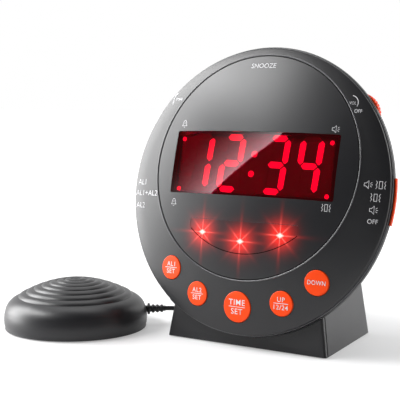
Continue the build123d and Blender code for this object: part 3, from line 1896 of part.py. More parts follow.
shaker_seat = Plane(
    origin=(shaker_x, shaker_y, base_screw_seat),
    x_dir=(1, 0, 0),
    z_dir=(0, 0, -1),
)
shaker_screw_places = [(x * cap_post_place, y * cap_post_place) for x in (-1, 1) for y in (-1, 1)]
with BuildPart() as shaker_screws:
    add(
        screw(
            shaker_seat,
            shaker_screw_places,
            case_screw_head,
            case_screw_head_high,
            case_screw_radius,
            shaker_screw_tip - base_screw_seat,
        )
    )
    add(
        screw(
            shaker_plane.offset(bracket_foot_top),
            [(0, -bracket_screw_y), (0, bracket_screw_y)],
            board_screw_head,
            board_screw_head_high,
            board_screw_radius,
            bracket_foot_top - bracket_pilot_low - foot_clearance,
        )
    )

shaker_screws.part.label = "shaker_screws"
export_step(shaker_screws.part, "parts/shaker_screws.step")

# Shaker's motor in its bracket, turning an eccentric weight
motor_radius = 8.0
motor_z = 12.5
motor_rear_x = -14.0
motor_front_x = 12.0
motor_edge_round = 0.8
motor_shaft_bore = 1.05
motor_shaft_radius = 1.0
motor_shaft_bite = 6.0
bracket_clearance = 0.05
bracket_half = 10.5
bracket_rear_x = -9.0
bracket_front_x = 7.0
bracket_ring_radius = 10.2
bracket_foot_half_x = 4.0
bracket_foot_reach = 17.0
weight_radius = 6.5
weight_hub_radius = 2.5
weight_near_x = 15.0
weight_far_x = 23.0
motor_plane = Plane(
    origin=(shaker_x, shaker_y, motor_z),
    x_dir=(0, 1, 0),
    z_dir=(1, 0, 0),
)

with BuildPart() as shaker_motor:
    with BuildSketch(motor_plane.offset(motor_rear_x)):
        Circle(motor_radius)
    extrude(amount=motor_front_x - motor_rear_x)
    fillet(shaker_motor.edges().filter_by(GeomType.CIRCLE), motor_edge_round)
    with BuildSketch(motor_plane.offset(motor_front_x)):
        Circle(motor_shaft_bore)
    extrude(amount=-motor_shaft_bite, mode=Mode.SUBTRACT)

shaker_motor.part.label = "shaker_motor"
export_step(shaker_motor.part, "parts/shaker_motor.step")

with BuildPart() as motor_bracket:
    bracket_long = bracket_front_x - bracket_rear_x
    bracket_middle = (bracket_front_x + bracket_rear_x) / 2
    with BuildSketch(shaker_plane.offset(cap_low)):
        with Locations((bracket_middle, 0)):
            Rectangle(bracket_long, 2 * bracket_half)
    extrude(amount=motor_z - cap_low)
    with BuildSketch(motor_plane.offset(bracket_rear_x)):
        Circle(bracket_ring_radius)
    extrude(amount=bracket_long)
    with BuildSketch(shaker_plane.offset(cap_low)):
        Rectangle(2 * bracket_foot_half_x, 2 * bracket_foot_reach)
    extrude(amount=bracket_foot_top - cap_low)
    with BuildSketch(motor_plane.offset(bracket_rear_x)):
        Circle(motor_radius + bracket_clearance)
    extrude(amount=bracket_long, mode=Mode.SUBTRACT)
    with BuildSketch(shaker_plane.offset(cap_low)):
        with Locations((0, -bracket_screw_y), (0, bracket_screw_y)):
            Circle(board_screw_hole)
    extrude(amount=bracket_foot_top, mode=Mode.SUBTRACT)
    split(bisect_by=shaker_plane.offset(cap_low), keep=Keep.TOP)

motor_bracket.part.label = "motor_bracket"
export_step(motor_bracket.part, "parts/motor_bracket.step")

with BuildPart() as shaker_weight:
    with BuildSketch(motor_plane.offset(weight_near_x)):
        Circle(weight_radius)
        with Locations((0, weight_radius)):
            Rectangle(2 * weight_radius, 2 * weight_radius, mode=Mode.SUBTRACT)
        Circle(weight_hub_radius)
    extrude(amount=weight_far_x - weight_near_x)
    with BuildSketch(motor_plane.offset(motor_front_x - motor_shaft_bite + foot_clearance)):
        Circle(motor_shaft_radius)
    extrude(amount=weight_near_x - motor_front_x + motor_shaft_bite)

shaker_weight.part.label = "shaker_weight"
export_step(shaker_weight.part, "parts/shaker_weight.step")

# Ribbed strain relief where the lead leaves the shaker
relief_inner = 33.5
relief_flange_end = 35.1
relief_flange_radius = 3.0
relief_neck = 1.9
relief_collar_start = 39.9
relief_collar_end = 41.2
relief_collar_radius = 3.2
relief_body = 1.7
relief_end = 50.0
relief_ring_start = 42.3
relief_ring_radius = 2.35
relief_ring_long = 1.5
relief_ring_pitch = 2.4
relief_ring_count = 3
relief_sections = [
    (relief_inner, relief_flange_end, relief_flange_radius),
    (relief_flange_end, relief_collar_start, relief_neck),
    (relief_collar_start, relief_collar_end, relief_collar_radius),
    (relief_collar_end, relief_end, relief_body),
]
for number in range(relief_ring_count):
    ring_start = relief_ring_start + number * relief_ring_pitch
    relief_sections.append((ring_start, ring_start + relief_ring_long, relief_ring_radius))

with BuildPart() as shaker_strain_relief:
    for start, end, radius in relief_sections:
        with BuildSketch(relief_plane.offset(start)):
            Circle(radius)
        extrude(amount=end - start)

shaker_strain_relief.part.label = "shaker_strain_relief"
export_step(shaker_strain_relief.part, "parts/shaker_strain_relief.step")


# Lead of the shaker: free runs, a coil behind the clock, and its plug
def bend_radii(points):
    """Radius at each inner point of a route, from its shorter run and its turn."""
    radii = []
    for before, here, after in zip(points, points[1:], points[2:]):
        first = Vector(*here) - Vector(*before)
        second = Vector(*after) - Vector(*here)
        half_turn = radians(first.get_angle(second)) / 2
        share = bend_share * min(first.length, second.length)
        radii.append(share / tan(half_turn))
    return radii


def cord_run(points):
    """Round cord along a route with rounded bends."""
    with BuildPart() as solid:
        with BuildLine() as route:
            FilletPolyline(*points, radius=bend_radii(points))
        start = Vector(*points[0])
        with BuildSketch(Plane(origin=start, z_dir=Vector(*points[1]) - start)):
            Circle(cord_diameter / 2)
        sweep(path=route.wires()[0])
    return solid.part


bend_share = 0.45
first_run = 7.0
cord_z = cord_diameter / 2
coil_pitch = cord_diameter + coil_gap
coil_start = (coil_x - coil_outer_radius, coil_y, cord_z)
coil_end = (coil_x - coil_pitch, coil_y + coil_outer_radius, cord_z + (coil_layers - 1) * coil_pitch)
relief_tip = relief_plane.origin + relief_out * relief_end
relief_next = relief_tip + relief_out * first_run
lead_points = [
    tuple(relief_tip),
    tuple(relief_next),
    (-54.2, 4.2, 6.0),
    (-52.6, 13.5, 2.8),
    (-53.2, 25.0, 1.35),
    (-52.5, 38.0, 1.32),
    (coil_start[0], 51.5, cord_z),
    coil_start,
]

with BuildPart() as shaker_cord_lead:
    add(cord_run(lead_points))

shaker_cord_lead.part.label = "shaker_cord_lead"
export_step(shaker_cord_lead.part, "parts/shaker_cord_lead.step")


def coil_turns():
    """Radius, rise and side of each half turn, from the coil's start."""
    turns = []
    radius = coil_outer_radius
    for layer in range(coil_layers):
        step = -coil_pitch / 2 if layer % 2 == 0 else coil_pitch / 2
        for half in range(coil_half_turns):
            turns.append((radius, 0))
            radius += step
        if layer < coil_layers - 1:
            turns.append((radius, coil_pitch))
            radius -= step
    return turns


with BuildPart() as shaker_cord_coil:
    with BuildLine() as coil_route:
        x, y, z = coil_start
        side = 1
        turns = coil_turns()
        for radius, rise in turns[:-1]:
            end_x = x + side * 2 * radius
            if rise:
                middle = (x + side * radius, y + side * sqrt(radius**2 + (rise / 2) ** 2), z + rise / 2)
                first_arc = TangentArc((x, y, z), middle, tangent=(0, side, 0))
                TangentArc(middle, (end_x, y, z + rise), tangent=first_arc % 1)
            else:
                ThreePointArc((x, y, z), (x + side * radius, y + side * radius, z), (end_x, y, z))
            x = end_x
            z = z + rise
            side = -side
        TangentArc((x, y, z), (x + side * turns[-1][0], y + side * turns[-1][0], z), tangent=(0, side, 0))
    with BuildSketch(Plane(origin=coil_start, z_dir=(0, 1, 0))):
        Circle(cord_diameter / 2)
    sweep(path=coil_route.wires()[0])

shaker_cord_coil.part.label = "shaker_cord_coil"
export_step(shaker_cord_coil.part, "parts/shaker_cord_coil.step")

# Plug of the lead and the end run that comes down to it
plug_pin_radius = 1.7
plug_pin_tip = 19.7
plug_seat = 31.7
plug_body_end = 49.6
plug_radius = 3.6
plug_tail_radius = 1.9
plug_tail_end = 57.8
plug_round = 0.8
end_points = [
    coil_end,
    (coil_end[0] + first_run, coil_end[1], coil_end[2]),
    (-17.5, 85.2, 8.6),
    (-8.0, 86.5, 4.6),
    (1.6, 86.0, 1.8),
    (9.5, 80.4, 2.4),
    (10.8, 72.6, 7.4),
    (shaker_socket_x, 65.8, socket_z),
    (shaker_socket_x, plug_tail_end, socket_z),
]

with BuildPart() as shaker_cord_end:
    add(cord_run(end_points))

shaker_cord_end.part.label = "shaker_cord_end"
export_step(shaker_cord_end.part, "parts/shaker_cord_end.step")

plug_plane = Plane(origin=(shaker_socket_x, plug_seat, socket_z), x_dir=(-1, 0, 0), z_dir=(0, 1, 0))
with BuildPart() as shaker_plug:
    with BuildSketch(plug_plane):
        Circle(plug_radius)
    extrude(amount=plug_body_end - plug_seat)
    fillet(shaker_plug.edges().sort_by(Axis.Y)[0], plug_round)
    with BuildSketch(plug_plane.offset(plug_body_end - plug_seat)):
        Circle(plug_radius)
    with BuildSketch(plug_plane.offset(plug_tail_end - plug_seat)):
        Circle(plug_tail_radius)
    loft()
    with BuildSketch(plug_plane):
        Circle(plug_pin_radius)
    extrude(amount=plug_pin_tip - plug_seat)

shaker_plug.part.label = "shaker_plug"
export_step(shaker_plug.part, "parts/shaker_plug.step")
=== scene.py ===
"""Visual model of a bed shaker alarm clock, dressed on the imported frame."""

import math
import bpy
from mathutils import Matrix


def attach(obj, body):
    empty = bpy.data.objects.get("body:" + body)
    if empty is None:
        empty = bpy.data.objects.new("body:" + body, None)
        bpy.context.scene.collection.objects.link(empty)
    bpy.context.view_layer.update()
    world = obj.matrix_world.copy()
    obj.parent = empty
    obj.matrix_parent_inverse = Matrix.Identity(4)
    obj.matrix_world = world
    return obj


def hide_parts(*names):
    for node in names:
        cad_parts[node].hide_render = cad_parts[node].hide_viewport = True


bl_info = {
    "name": "Bed Shaker Alarm Clock",
    "version": (1, 0, 0),
    "blender": (4, 5, 0),
    "location": "View3D > Sidebar > Alarm Clock",
    "description": "Dresses the packed alarm clock with finishes, printing, cord and stage",
    "category": "Object",
}

from contextlib import contextmanager

import bmesh
import bpy
import numpy as np
from mathutils import Matrix, Vector

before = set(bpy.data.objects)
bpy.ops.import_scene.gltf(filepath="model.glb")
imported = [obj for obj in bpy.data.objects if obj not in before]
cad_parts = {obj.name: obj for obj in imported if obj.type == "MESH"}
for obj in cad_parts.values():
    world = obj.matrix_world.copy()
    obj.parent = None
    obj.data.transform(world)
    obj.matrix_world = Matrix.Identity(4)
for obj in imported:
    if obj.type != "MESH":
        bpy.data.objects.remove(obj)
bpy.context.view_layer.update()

MM = 0.001
CLOCK = "clock"
WHITE = (1.0, 1.0, 1.0, 1.0)

# Distances under which corners are merged and slivers dissolved, in metres
MERGE_OWN = 1e-7
MERGE_NODE = 2e-7
SLIVER = 1e-8

# Front disc, as in the solids: its origin in metres, and the rest in millimetres
DISC_LEAN = math.radians(12.6)
DISC_ORIGIN = np.array((0.0, -21.85, 80.18)) * MM
DISC_X = np.array((1.0, 0.0, 0.0))
DISC_UP = np.array((0.0, math.sin(DISC_LEAN), math.cos(DISC_LEAN)))
DISC_OUT = np.array((0.0, -math.cos(DISC_LEAN), math.sin(DISC_LEAN)))
DISC_RADIUS = 75.0
DOME_RISE = 9.0
DOME_RADIUS = (DISC_RADIUS**2 + DOME_RISE**2) / (2 * DOME_RISE)
PANEL_RADIUS = 57.84
PANEL_RISE = 11.57

# Thin beads along circles of the face: finish, height of the circle's middle, its radius, the bead's own
# radius, and how far the bead's middle lies under the dome
BEADS = {
    # Bead along the panel's edge in a lighter, glossier plastic: a painted highlight
    "panel_lip": ("lip_plastic", PANEL_RISE, PANEL_RADIUS + 0.85, 0.45, 0.15),
    # Black bead painted as the shade in the gap round the panel
    "panel_groove": ("groove_black", PANEL_RISE, PANEL_RADIUS + 0.12, 0.38, 0.3),
    # Lighter bead that fills the rim's seam: a painted lit band where the seam lies in shade
    "rim_seam": ("lip_plastic", 0.0, DISC_RADIUS - 0.65, 0.42, 1.87),
}
BEAD_AROUND = 240
BEAD_ACROSS = 10

# Buttons: place across and up the disc, and words
BUTTONS = {
    "al1": (-42.45, -43.99, ("AL1", "SET")),
    "al2": (-24.54, -55.99, ("AL2", "SET")),
    "time": (0.0, -60.27, ("TIME", "SET")),
    "up": (24.54, -55.99, ("UP", "12/24")),
    "down": (42.45, -43.99, ("DOWN",)),
}
BUTTON_PROUD = 0.5

# Words on a button that has one or two: height, width share and spacing
BUTTON_WORDS = {1: (2.2325, 0.86, 1.08), 2: (2.35, 1.0, 1.12)}
BUTTON_BOLD = 0.004
BUTTON_ROW = 1.9
BUTTON_RULE = 3.9
BUTTON_RULE_WIDTH = 0.3
TIME_GROWTH = 1.2
SIGN_LINE = 0.22
ARC_LINE = 0.32

# Bars of the digits, in metres: how far their ends are drawn in, and the half length over which a bar is long
BAR_DRAW_IN = 0.0005
LONG_BAR = 0.004

# Alert lens and the lights behind it
# The lens's low edge gets a painted shadow line and its top a painted highlight line, at these places and of
# this width
LENS_ARC_RISE = 14.4
LENS_ARC_RADIUS = 48.1
LENS_HALF_WIDTH = 30.3
LENS_TOP = -17.3
LENS_LINE_WIDTH = 0.4
LAMP_PLACES = ((-23.4, -24.2), (-0.2, -27.5), (21.8, -22.9))

# Star of light round each alert light: reach of its ball and of its arms and half sizes of its lozenge in
# metres, how thin its long and short arms are, how fast each part fades, and the parts' shares
BALL_REACH = 0.0054
ARM_REACH = 0.0068
CORE_HALF_WIDTH = 0.0021
CORE_HALF_HEIGHT = 0.0014
LONG_ARM_THINNESS = 110.0
SHORT_ARM_THINNESS = 70.0
SHORT_ARM_FALL = 1.5
BALL_POWER = 1.7
ARM_POWER = 1.4
ARM_SHARE = 0.6
PALE_SHARE = 0.3
CORE_PEAK = 1.3
HALO_RED = (1.0, 0.016, 0.005)
CORE_PALE = (1.0, 0.85, 0.75)
LAMP_STRENGTH = 1.5

# Camera that was fitted to the photograph, lens and sensor in millimetres
CAMERA_PLACE = (0.2605, -0.4795, 0.1284)
CAMERA_TARGET = (-0.03269, -0.02185, 0.07304)
CAMERA_LENS = 92.9
CAMERA_SENSOR = 36.0

# Card of light whose straight edge runs across the window as a sheen, in metres
CARD_EDGE_START = np.array((-0.302, -0.729, 0.566))
CARD_EDGE_END = np.array((-0.592, -0.694, 0.288))
CARD_AIM = np.array((0.0, -0.03, 0.09))
CARD_LEAD = 0.03
CARD_LONG = 0.97
CARD_WIDE = 0.25
CARD_ALONG = (CARD_EDGE_END - CARD_EDGE_START) / np.linalg.norm(CARD_EDGE_END - CARD_EDGE_START)
CARD_FACING = CARD_AIM - (CARD_EDGE_START + CARD_EDGE_END) / 2
CARD_FACING -= CARD_ALONG * (CARD_FACING @ CARD_ALONG)
CARD_FACING /= np.linalg.norm(CARD_FACING)
CARD_OUT = np.cross(CARD_FACING, CARD_ALONG)
CARD_MIDDLE = CARD_EDGE_START + CARD_ALONG * (CARD_LONG / 2 - CARD_LEAD) + CARD_OUT * CARD_WIDE / 2

# Other lights: place, width and height in metres, all turned to one aim
LIGHT_AIM = (0.0, 0.0, 0.08)
LIGHTS = {
    "left": ((-1.0, -0.26, 0.42), 0.66, 0.95),
    "high": ((-0.61, -0.56, 0.83), 0.5, 0.34),
    "top": ((-0.1, 0.15, 1.1), 1.0, 0.7),
    "back": ((0.55, 0.9, 0.5), 0.7, 0.5),
    "right": ((1.0, 0.36, 0.34), 0.3, 0.8),
}
MOST_POWER = 200.0

# Strength of the world on matt and on glossy surfaces, half width of the floor, and where and how much
# its glow to the camera rises away from the clock
WORLD_LIGHT = 0.22
WORLD_GLOSS = 0.035
FLOOR_HALF = 6.0
FLOOR_NEAR = 0.2
FLOOR_FAR = 0.6
FLOOR_NEAR_GLOW = 0.35

# Sleeve where the lead leaves the shaker, in millimetres from the shaker's middle: each rib has its
# middle, half length and radius
RELIEF_START = 33.5
RELIEF_END = 50.0
RELIEF_CORE = (2.0, 1.5)
RELIEF_RIBS = (
    (34.3, 0.9, 3.0),
    (40.55, 0.75, 3.15),
    (43.05, 0.8, 2.35),
    (45.45, 0.8, 2.25),
    (47.85, 0.8, 2.15),
)

# Route of the lead, as in the solids, in millimetres
CORD_Z = 1.3
COIL_X = -30.6
COIL_Y = 63.0
COIL_RADIUS = 21.3
COIL_PITCH = 3.22
COIL_HALF_TURNS = 8
COIL_LAYERS = 4
COIL_SWELL = 1.5
POINTS_PER_HALF_TURN = 8
LEAD_POINTS = (
    (-64.277, -8.529, 9.0),
    (-58.883, -4.067, 9.0),
    (-54.2, 4.2, 6.0),
    (-52.6, 13.5, 2.8),
    (-53.2, 25.0, 1.35),
    (-52.5, 38.0, 1.32),
    (-51.9, 51.5, 1.3),
)
END_POINTS = (
    (-26.82, 84.3, 10.96),
    (-17.5, 85.2, 8.6),
    (-8.0, 86.5, 4.6),
    (1.6, 86.0, 1.8),
    (9.5, 80.4, 2.4),
    (10.8, 72.6, 7.4),
    (8.0, 65.8, 13.0),
    (8.0, 57.8, 13.0),
)


# Sizes and colours that a user may change
def color_setting(name, description, default):
    """Property that holds a colour."""
    return bpy.props.FloatVectorProperty(
        name=name, description=description, subtype="COLOR", size=3, min=0.0, max=1.0, default=default
    )


def length_setting(name, description, default, **limits):
    """Property that holds a length in metres."""
    return bpy.props.FloatProperty(
        name=name, description=description, subtype="DISTANCE", unit="LENGTH", default=default, **limits
    )


def power_setting(name, description, default):
    """Property that holds a light's power in watts."""
    return bpy.props.FloatProperty(
        name=name, description=description, unit="POWER", default=default, min=0.0, max=MOST_POWER
    )


class ClockFinishes(bpy.types.PropertyGroup):
    """Colours of the clock."""

    case_color: color_setting("Case", "Colour of the moulded case", (0.008, 0.008, 0.0095))
    panel_color: color_setting("Face panel", "Colour of the round panel in the face", (0.008, 0.008, 0.0098))
    control_color: color_setting(
        "Controls", "Colour of the buttons, wheels and sliders", (0.95, 0.062, 0.001)
    )
    print_color: color_setting("Printing", "Colour of the printed words and signs", (0.66, 0.66, 0.68))
    digit_color: color_setting("Digits", "Colour of the light in the display", (1.0, 0.0, 0.14))
    window_color: color_setting("Window", "Tint of the display window", (1.0, 0.03, 0.15))


class ClockSizes(bpy.types.PropertyGroup):
    """Sizes of the lead and of the printing."""

    cord_diameter: length_setting(
        "Cord diameter", "Diameter of the lead between clock and shaker", 0.0026, min=0.001, max=0.006
    )
    print_lift: length_setting(
        "Print lift", "Height of the printing above the plastic", 6e-5, min=1e-5, max=5e-4
    )
    letter_height: length_setting(
        "Letter height", "Height of the capitals printed on the ring", 0.0026, min=0.001, max=0.01
    )


class ClockStage(bpy.types.PropertyGroup):
    """Floor and lights."""

    floor_color: color_setting("Floor", "Colour of the floor", (0.55, 0.55, 0.555))
    card_power: power_setting("Sheen card", "Power of the tilted card at the front left", 4.0)
    card_fall: bpy.props.FloatProperty(
        name="Card fall",
        description="How steeply the card's light falls off away from its sharp edge",
        default=3.0,
        min=0.0,
        max=8.0,
    )
    left_power: power_setting("Left light", "Power of the light at the left", 24.0)
    high_power: power_setting("High light", "Power of the high light in front at the left", 7.0)
    top_power: power_setting("Top light", "Power of the light above", 3.5)
    back_power: power_setting("Back light", "Power of the light behind", 3.2)
    right_power: power_setting("Right light", "Power of the slim light at the right", 6.0)


# Places on the domed face
def dome_height(radius, proud=0.0):
    """Height of the domed face above its edge circle, for a radius in millimetres."""
    return np.sqrt((DOME_RADIUS + proud) ** 2 - radius**2) - (DOME_RADIUS - DOME_RISE)


def on_disc(x, up, out):
    """Points in metres from millimetres across, up and out of the leaning disc."""
    x, up, out = np.broadcast_arrays(*(np.asarray(v, dtype=float) for v in (x, up, out)))
    offset = x[..., None] * DISC_X + up[..., None] * DISC_UP + out[..., None] * DISC_OUT
    return DISC_ORIGIN + offset * MM


def wrap_to_face(flat, lift, proud):
    """Flat millimetre points laid on the dome: out is the dome's height at their radius plus a lift."""
    radius = np.hypot(flat[:, 0], flat[:, 1])
    return on_disc(flat[:, 0], flat[:, 1], dome_height(radius, proud) + lift / MM)


# Meshes
def linked(name, data):
    """New object of some data, in the scene."""
    holder = bpy.data.objects.new(name, data)
    bpy.context.scene.collection.objects.link(holder)
    return holder


def new_piece(name, mesh, kind, body):
    """New object of a mesh, with its finish, that rides on a body."""
    piece = linked(name, mesh)
    mesh.materials.append(finish(kind))
    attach(piece, body)
    return piece


def mesh_from(name, points, faces, smooth=True):
    """Mesh from an array of points and a list or array of faces."""
    mesh = bpy.data.meshes.new(name)
    mesh.from_pydata(np.asarray(points).reshape(-1, 3).tolist(), [], [list(map(int, f)) for f in faces])
    mesh.update()
    if smooth:
        mesh.shade_smooth()
    else:
        mesh.shade_flat()
    return mesh


def grid_faces(rows, columns, close_rows):
    """Quads of a grid of points: each row is a closed ring, and the last row may join the first."""
    r, c = np.meshgrid(np.arange(rows if close_rows else rows - 1), np.arange(columns), indexing="ij")
    r2, c2 = (r + 1) % rows, (c + 1) % columns
    quads = np.stack((r * columns + c, r * columns + c2, r2 * columns + c2, r2 * columns + c), axis=-1)
    return quads.reshape(-1, 4)


def points_of(mesh):
    """Corners of a mesh as an array."""
    points = np.empty(len(mesh.vertices) * 3)
    mesh.vertices.foreach_get("co", points)
    return points.reshape(-1, 3)


@contextmanager
def edited(mesh):
    """Mesh opened for bmesh operators, and written back after them."""
    work = bmesh.new()
    work.from_mesh(mesh)
    yield work
    work.to_mesh(mesh)
    work.free()


def outward(mesh):
    """Merges doubles and points all faces of a closed mesh outwards."""
    with edited(mesh) as work:
        bmesh.ops.remove_doubles(work, verts=work.verts, dist=MERGE_OWN)
        bmesh.ops.recalc_face_normals(work, faces=work.faces)
    mesh.update()


def turned(name, profile, origin, axis, start, segments):
    """Surface of revolution: each profile point (radius, height) in metres is carried round the axis by
    angle u, at origin + radius (start cos u + side sin u) + height axis, side square to the other two."""
    side = np.cross(axis, start)
    angle = np.linspace(0, 2 * np.pi, segments, endpoint=False)[:, None]
    ring = np.cos(angle) * start + np.sin(angle) * side
    points = origin + profile[:, :1, None] * ring + profile[:, 1:, None] * axis
    mesh = mesh_from(name, points, grid_faces(len(profile), segments, False))
    outward(mesh)
    return mesh


def soften(mesh, angle):
    """Smooth shading that keeps edges sharper than an angle in degrees."""
    mesh.shade_smooth()
    mesh.set_sharp_from_angle(angle=math.radians(angle))


def dressed(node, kind, body=CLOCK, angle=30.0):
    """Merged copy of a CAD node that takes its place, smooth between its sharp edges, with its finish."""
    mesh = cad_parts[node].data.copy()
    mesh.materials.clear()
    with edited(mesh) as work:
        bmesh.ops.remove_doubles(work, verts=work.verts, dist=MERGE_NODE)
        bmesh.ops.dissolve_degenerate(work, edges=work.edges, dist=SLIVER)
    if mesh.has_custom_normals:
        mesh.attributes.remove(mesh.attributes["custom_normal"])
    soften(mesh, angle)
    piece = new_piece(node + "_finish", mesh, kind, body)
    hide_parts(node)
    return piece


def paint_nodes(kind, *nodes):
    """Gives CAD nodes that stay a better material."""
    for node in nodes:
        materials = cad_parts[node].data.materials
        materials.clear()
        materials.append(finish(kind))


def bead(name, kind, middle_up, radius, thick, sink):
    """Round bead along a circle of the face: at angle u of the circle the dome has height h, and the
    section runs round it by angle w, at radius + thick cos w and out = h + thick sin w - sink."""
    u = np.linspace(0, 2 * np.pi, BEAD_AROUND, endpoint=False)[:, None]
    w = np.linspace(0, 2 * np.pi, BEAD_ACROSS, endpoint=False)[None, :]
    ring = radius + thick * np.cos(w)
    x, up = ring * np.cos(u), middle_up + ring * np.sin(u)
    base = dome_height(np.hypot(radius * np.cos(u), middle_up + radius * np.sin(u)))
    points = on_disc(x, up, base + thick * np.sin(w) - sink)
    mesh = mesh_from(name, points, grid_faces(BEAD_AROUND, BEAD_ACROSS, True))
    outward(mesh)
    return new_piece(name, mesh, kind, CLOCK)


# Shader helpers
def wire(tree, node, inputs):
    """Gives a node its inputs, by name or number: an output is linked, and any other value is set."""
    for key, value in inputs.items():
        if isinstance(value, bpy.types.NodeSocket):
            tree.links.new(value, node.inputs[key])
        else:
            node.inputs[key].default_value = value


def add_node(tree, kind, inputs=None, **settings):
    """New shader node with its settings and its inputs."""
    node = tree.nodes.new("ShaderNode" + kind)
    for name, value in settings.items():
        setattr(node, name, value)
    wire(tree, node, inputs or {})
    return node


def reckon(tree, operation, *values):
    """Output of a new Math node."""
    return add_node(tree, "Math", dict(enumerate(values)), operation=operation).outputs[0]


def new_material(name):
    """New material with its tree and its Principled BSDF."""
    material = bpy.data.materials.new(name)
    material.use_nodes = True
    tree = material.node_tree
    return material, tree, tree.nodes["Principled BSDF"]


def new_group(name, inputs, outputs):
    """New node group, the outputs of its input node, and its output node. Each input has its type and
    default, and each output its type."""
    group = bpy.data.node_groups.new(name, "ShaderNodeTree")
    for socket, (kind, default) in inputs.items():
        item = group.interface.new_socket(socket, in_out="INPUT", socket_type="NodeSocket" + kind)
        item.default_value = default
    for socket, kind in outputs.items():
        group.interface.new_socket(socket, in_out="OUTPUT", socket_type="NodeSocket" + kind)
    return group, group.nodes.new("NodeGroupInput").outputs, group.nodes.new("NodeGroupOutput")


def grain_group():
    """Moulded grain: fine noise height and a broad cloud that shifts colour and roughness."""
    name = "moulded_grain"
    if name in bpy.data.node_groups:
        return bpy.data.node_groups[name]
    inputs = {
        "Grain Size": ("Float", 1400.0),
        "Roughness": ("Float", 0.4),
        "Spread": ("Float", 0.08),
        "Tint": ("Color", (0.05, 0.05, 0.05, 1.0)),
    }
    outputs = {"Color": "Color", "Roughness": "Float", "Height": "Float"}
    group, given, result = new_group(name, inputs, outputs)
    place = add_node(group, "TexCoord").outputs["Object"]
    fine = add_node(
        group, "TexNoise", {"Vector": place, "Scale": given["Grain Size"], "Detail": 3.0, "Roughness": 0.6}
    )
    cloud = add_node(group, "TexNoise", {"Vector": place, "Scale": 28.0, "Detail": 4.0}).outputs["Fac"]
    centred = reckon(group, "SUBTRACT", cloud, 0.5)
    rough = reckon(group, "MULTIPLY_ADD", centred, given["Spread"], given["Roughness"])
    ends = {"From Min": 0.2, "From Max": 0.8, "To Min": 0.9, "To Max": 1.1}
    shade = add_node(group, "MapRange", {"Value": cloud, **ends}).outputs["Result"]
    tinted = add_node(group, "VectorMath", {0: given["Tint"], "Scale": shade}, operation="SCALE")
    results = {"Color": tinted.outputs["Vector"], "Roughness": rough, "Height": fine.outputs["Fac"]}
    wire(group, result, results)
    return group


def moulded(name, color, roughness, grain, depth, spread=0.08, specular=0.5, coat=0.0, metallic=0.0):
    """Moulded plastic, rubber, paint or metal with the shared grain: grains in a metre and their depth in
    metres, and the spread of the roughness."""
    material, tree, shader = new_material(name)
    inputs = {"Grain Size": grain, "Roughness": roughness, "Spread": spread, "Tint": color}
    grained = add_node(tree, "Group", inputs, node_tree=grain_group()).outputs
    bump = add_node(tree, "Bump", {"Distance": depth, "Strength": 1.0, "Height": grained["Height"]})
    inputs = {
        "Base Color": grained["Color"],
        "Roughness": grained["Roughness"],
        "Normal": bump.outputs["Normal"],
        "Metallic": metallic,
        "Specular IOR Level": specular,
        "Coat Weight": coat,
        "Coat Roughness": 0.12,
    }
    wire(tree, shader, inputs)
    return material


def window_tint(name, color):
    """Polished red acrylic that lets the light of the digits through."""
    material, tree, shader = new_material(name)
    place = add_node(tree, "TexCoord").outputs["Object"]
    haze = add_node(tree, "TexNoise", {"Vector": place, "Scale": 60.0}).outputs["Fac"]
    rough = add_node(tree, "MapRange", {"Value": haze, "To Min": 0.01, "To Max": 0.035})
    inputs = {
        "Base Color": color,
        "Roughness": rough.outputs["Result"],
        "Transmission Weight": 1.0,
        "IOR": 1.01,
        "Coat Weight": 1.0,
        "Coat Roughness": 0.02,
    }
    wire(tree, shader, inputs)
    return material


def glow_group():
    """Star of light round a point of the disc, at distance d and angle a from it: a ball that fades with
    d, four long arms where |cos 2a| is near 1, four short ones where |sin 2a| is, and a pale lozenge."""
    name = "lamp_glow"
    if name in bpy.data.node_groups:
        return bpy.data.node_groups[name]
    inputs = {
        "Centre": ("Vector", (0.0, 0.0, 0.0)),
        "Ball": ("Float", BALL_REACH),
        "Arm": ("Float", ARM_REACH),
    }
    group, given, result = new_group(name, inputs, {"Halo": "Float", "Core": "Float"})
    place = add_node(group, "TexCoord").outputs["Object"]
    offset = add_node(group, "VectorMath", {0: place, 1: given["Centre"]}, operation="SUBTRACT")

    def measured(axis):
        """Offset from the centre along an axis."""
        inputs = {0: offset.outputs["Vector"], 1: tuple(axis)}
        return add_node(group, "VectorMath", inputs, operation="DOT_PRODUCT").outputs["Value"]

    def number(operation, *values):
        """Output of a Math node of the group."""
        return reckon(group, operation, *values)

    def fade(reach, power, fall):
        """e to the minus fall (d / reach) to a power."""
        share = number("POWER", number("DIVIDE", distance, given[reach]), power)
        return number("EXPONENT", number("MULTIPLY", share, -fall))

    def arms_of(wave, thinness, fall):
        """Size of a wave of 2a to a power, which thins the arms, times their fade."""
        peaks = number("POWER", number("ABSOLUTE", number(wave, twice)), thinness)
        return number("MULTIPLY", peaks, fade("Arm", ARM_POWER, fall))

    across, up = measured(DISC_X), measured(DISC_UP)
    squared = number("ADD", number("MULTIPLY", across, across), number("MULTIPLY", up, up))
    distance = number("SQRT", squared)
    twice = number("MULTIPLY", number("ARCTAN2", up, across), 2.0)
    ball = fade("Ball", BALL_POWER, 1.0)
    long_arms = arms_of("COSINE", LONG_ARM_THINNESS, 1.0)
    short_arms = arms_of("SINE", SHORT_ARM_THINNESS, SHORT_ARM_FALL)
    arms = number("ADD", long_arms, short_arms)
    halo = number("ADD", ball, number("MULTIPLY", arms, ARM_SHARE))
    wide = number("MULTIPLY", number("ABSOLUTE", across), 1 / CORE_HALF_WIDTH)
    high = number("MULTIPLY", number("ABSOLUTE", up), 1 / CORE_HALF_HEIGHT)
    lozenge = number("SUBTRACT", CORE_PEAK, number("ADD", wide, high))
    pale = number("MULTIPLY", number("MULTIPLY", arms, ball), PALE_SHARE)
    core = number("MINIMUM", number("MAXIMUM", lozenge, pale), 1.0)
    wire(group, result, {"Halo": halo, "Core": core})
    return group


def shine(material, color, strength):
    """Gives a material its emission."""
    tree = material.node_tree
    wire(tree, tree.nodes["Principled BSDF"], {"Emission Color": color, "Emission Strength": strength})


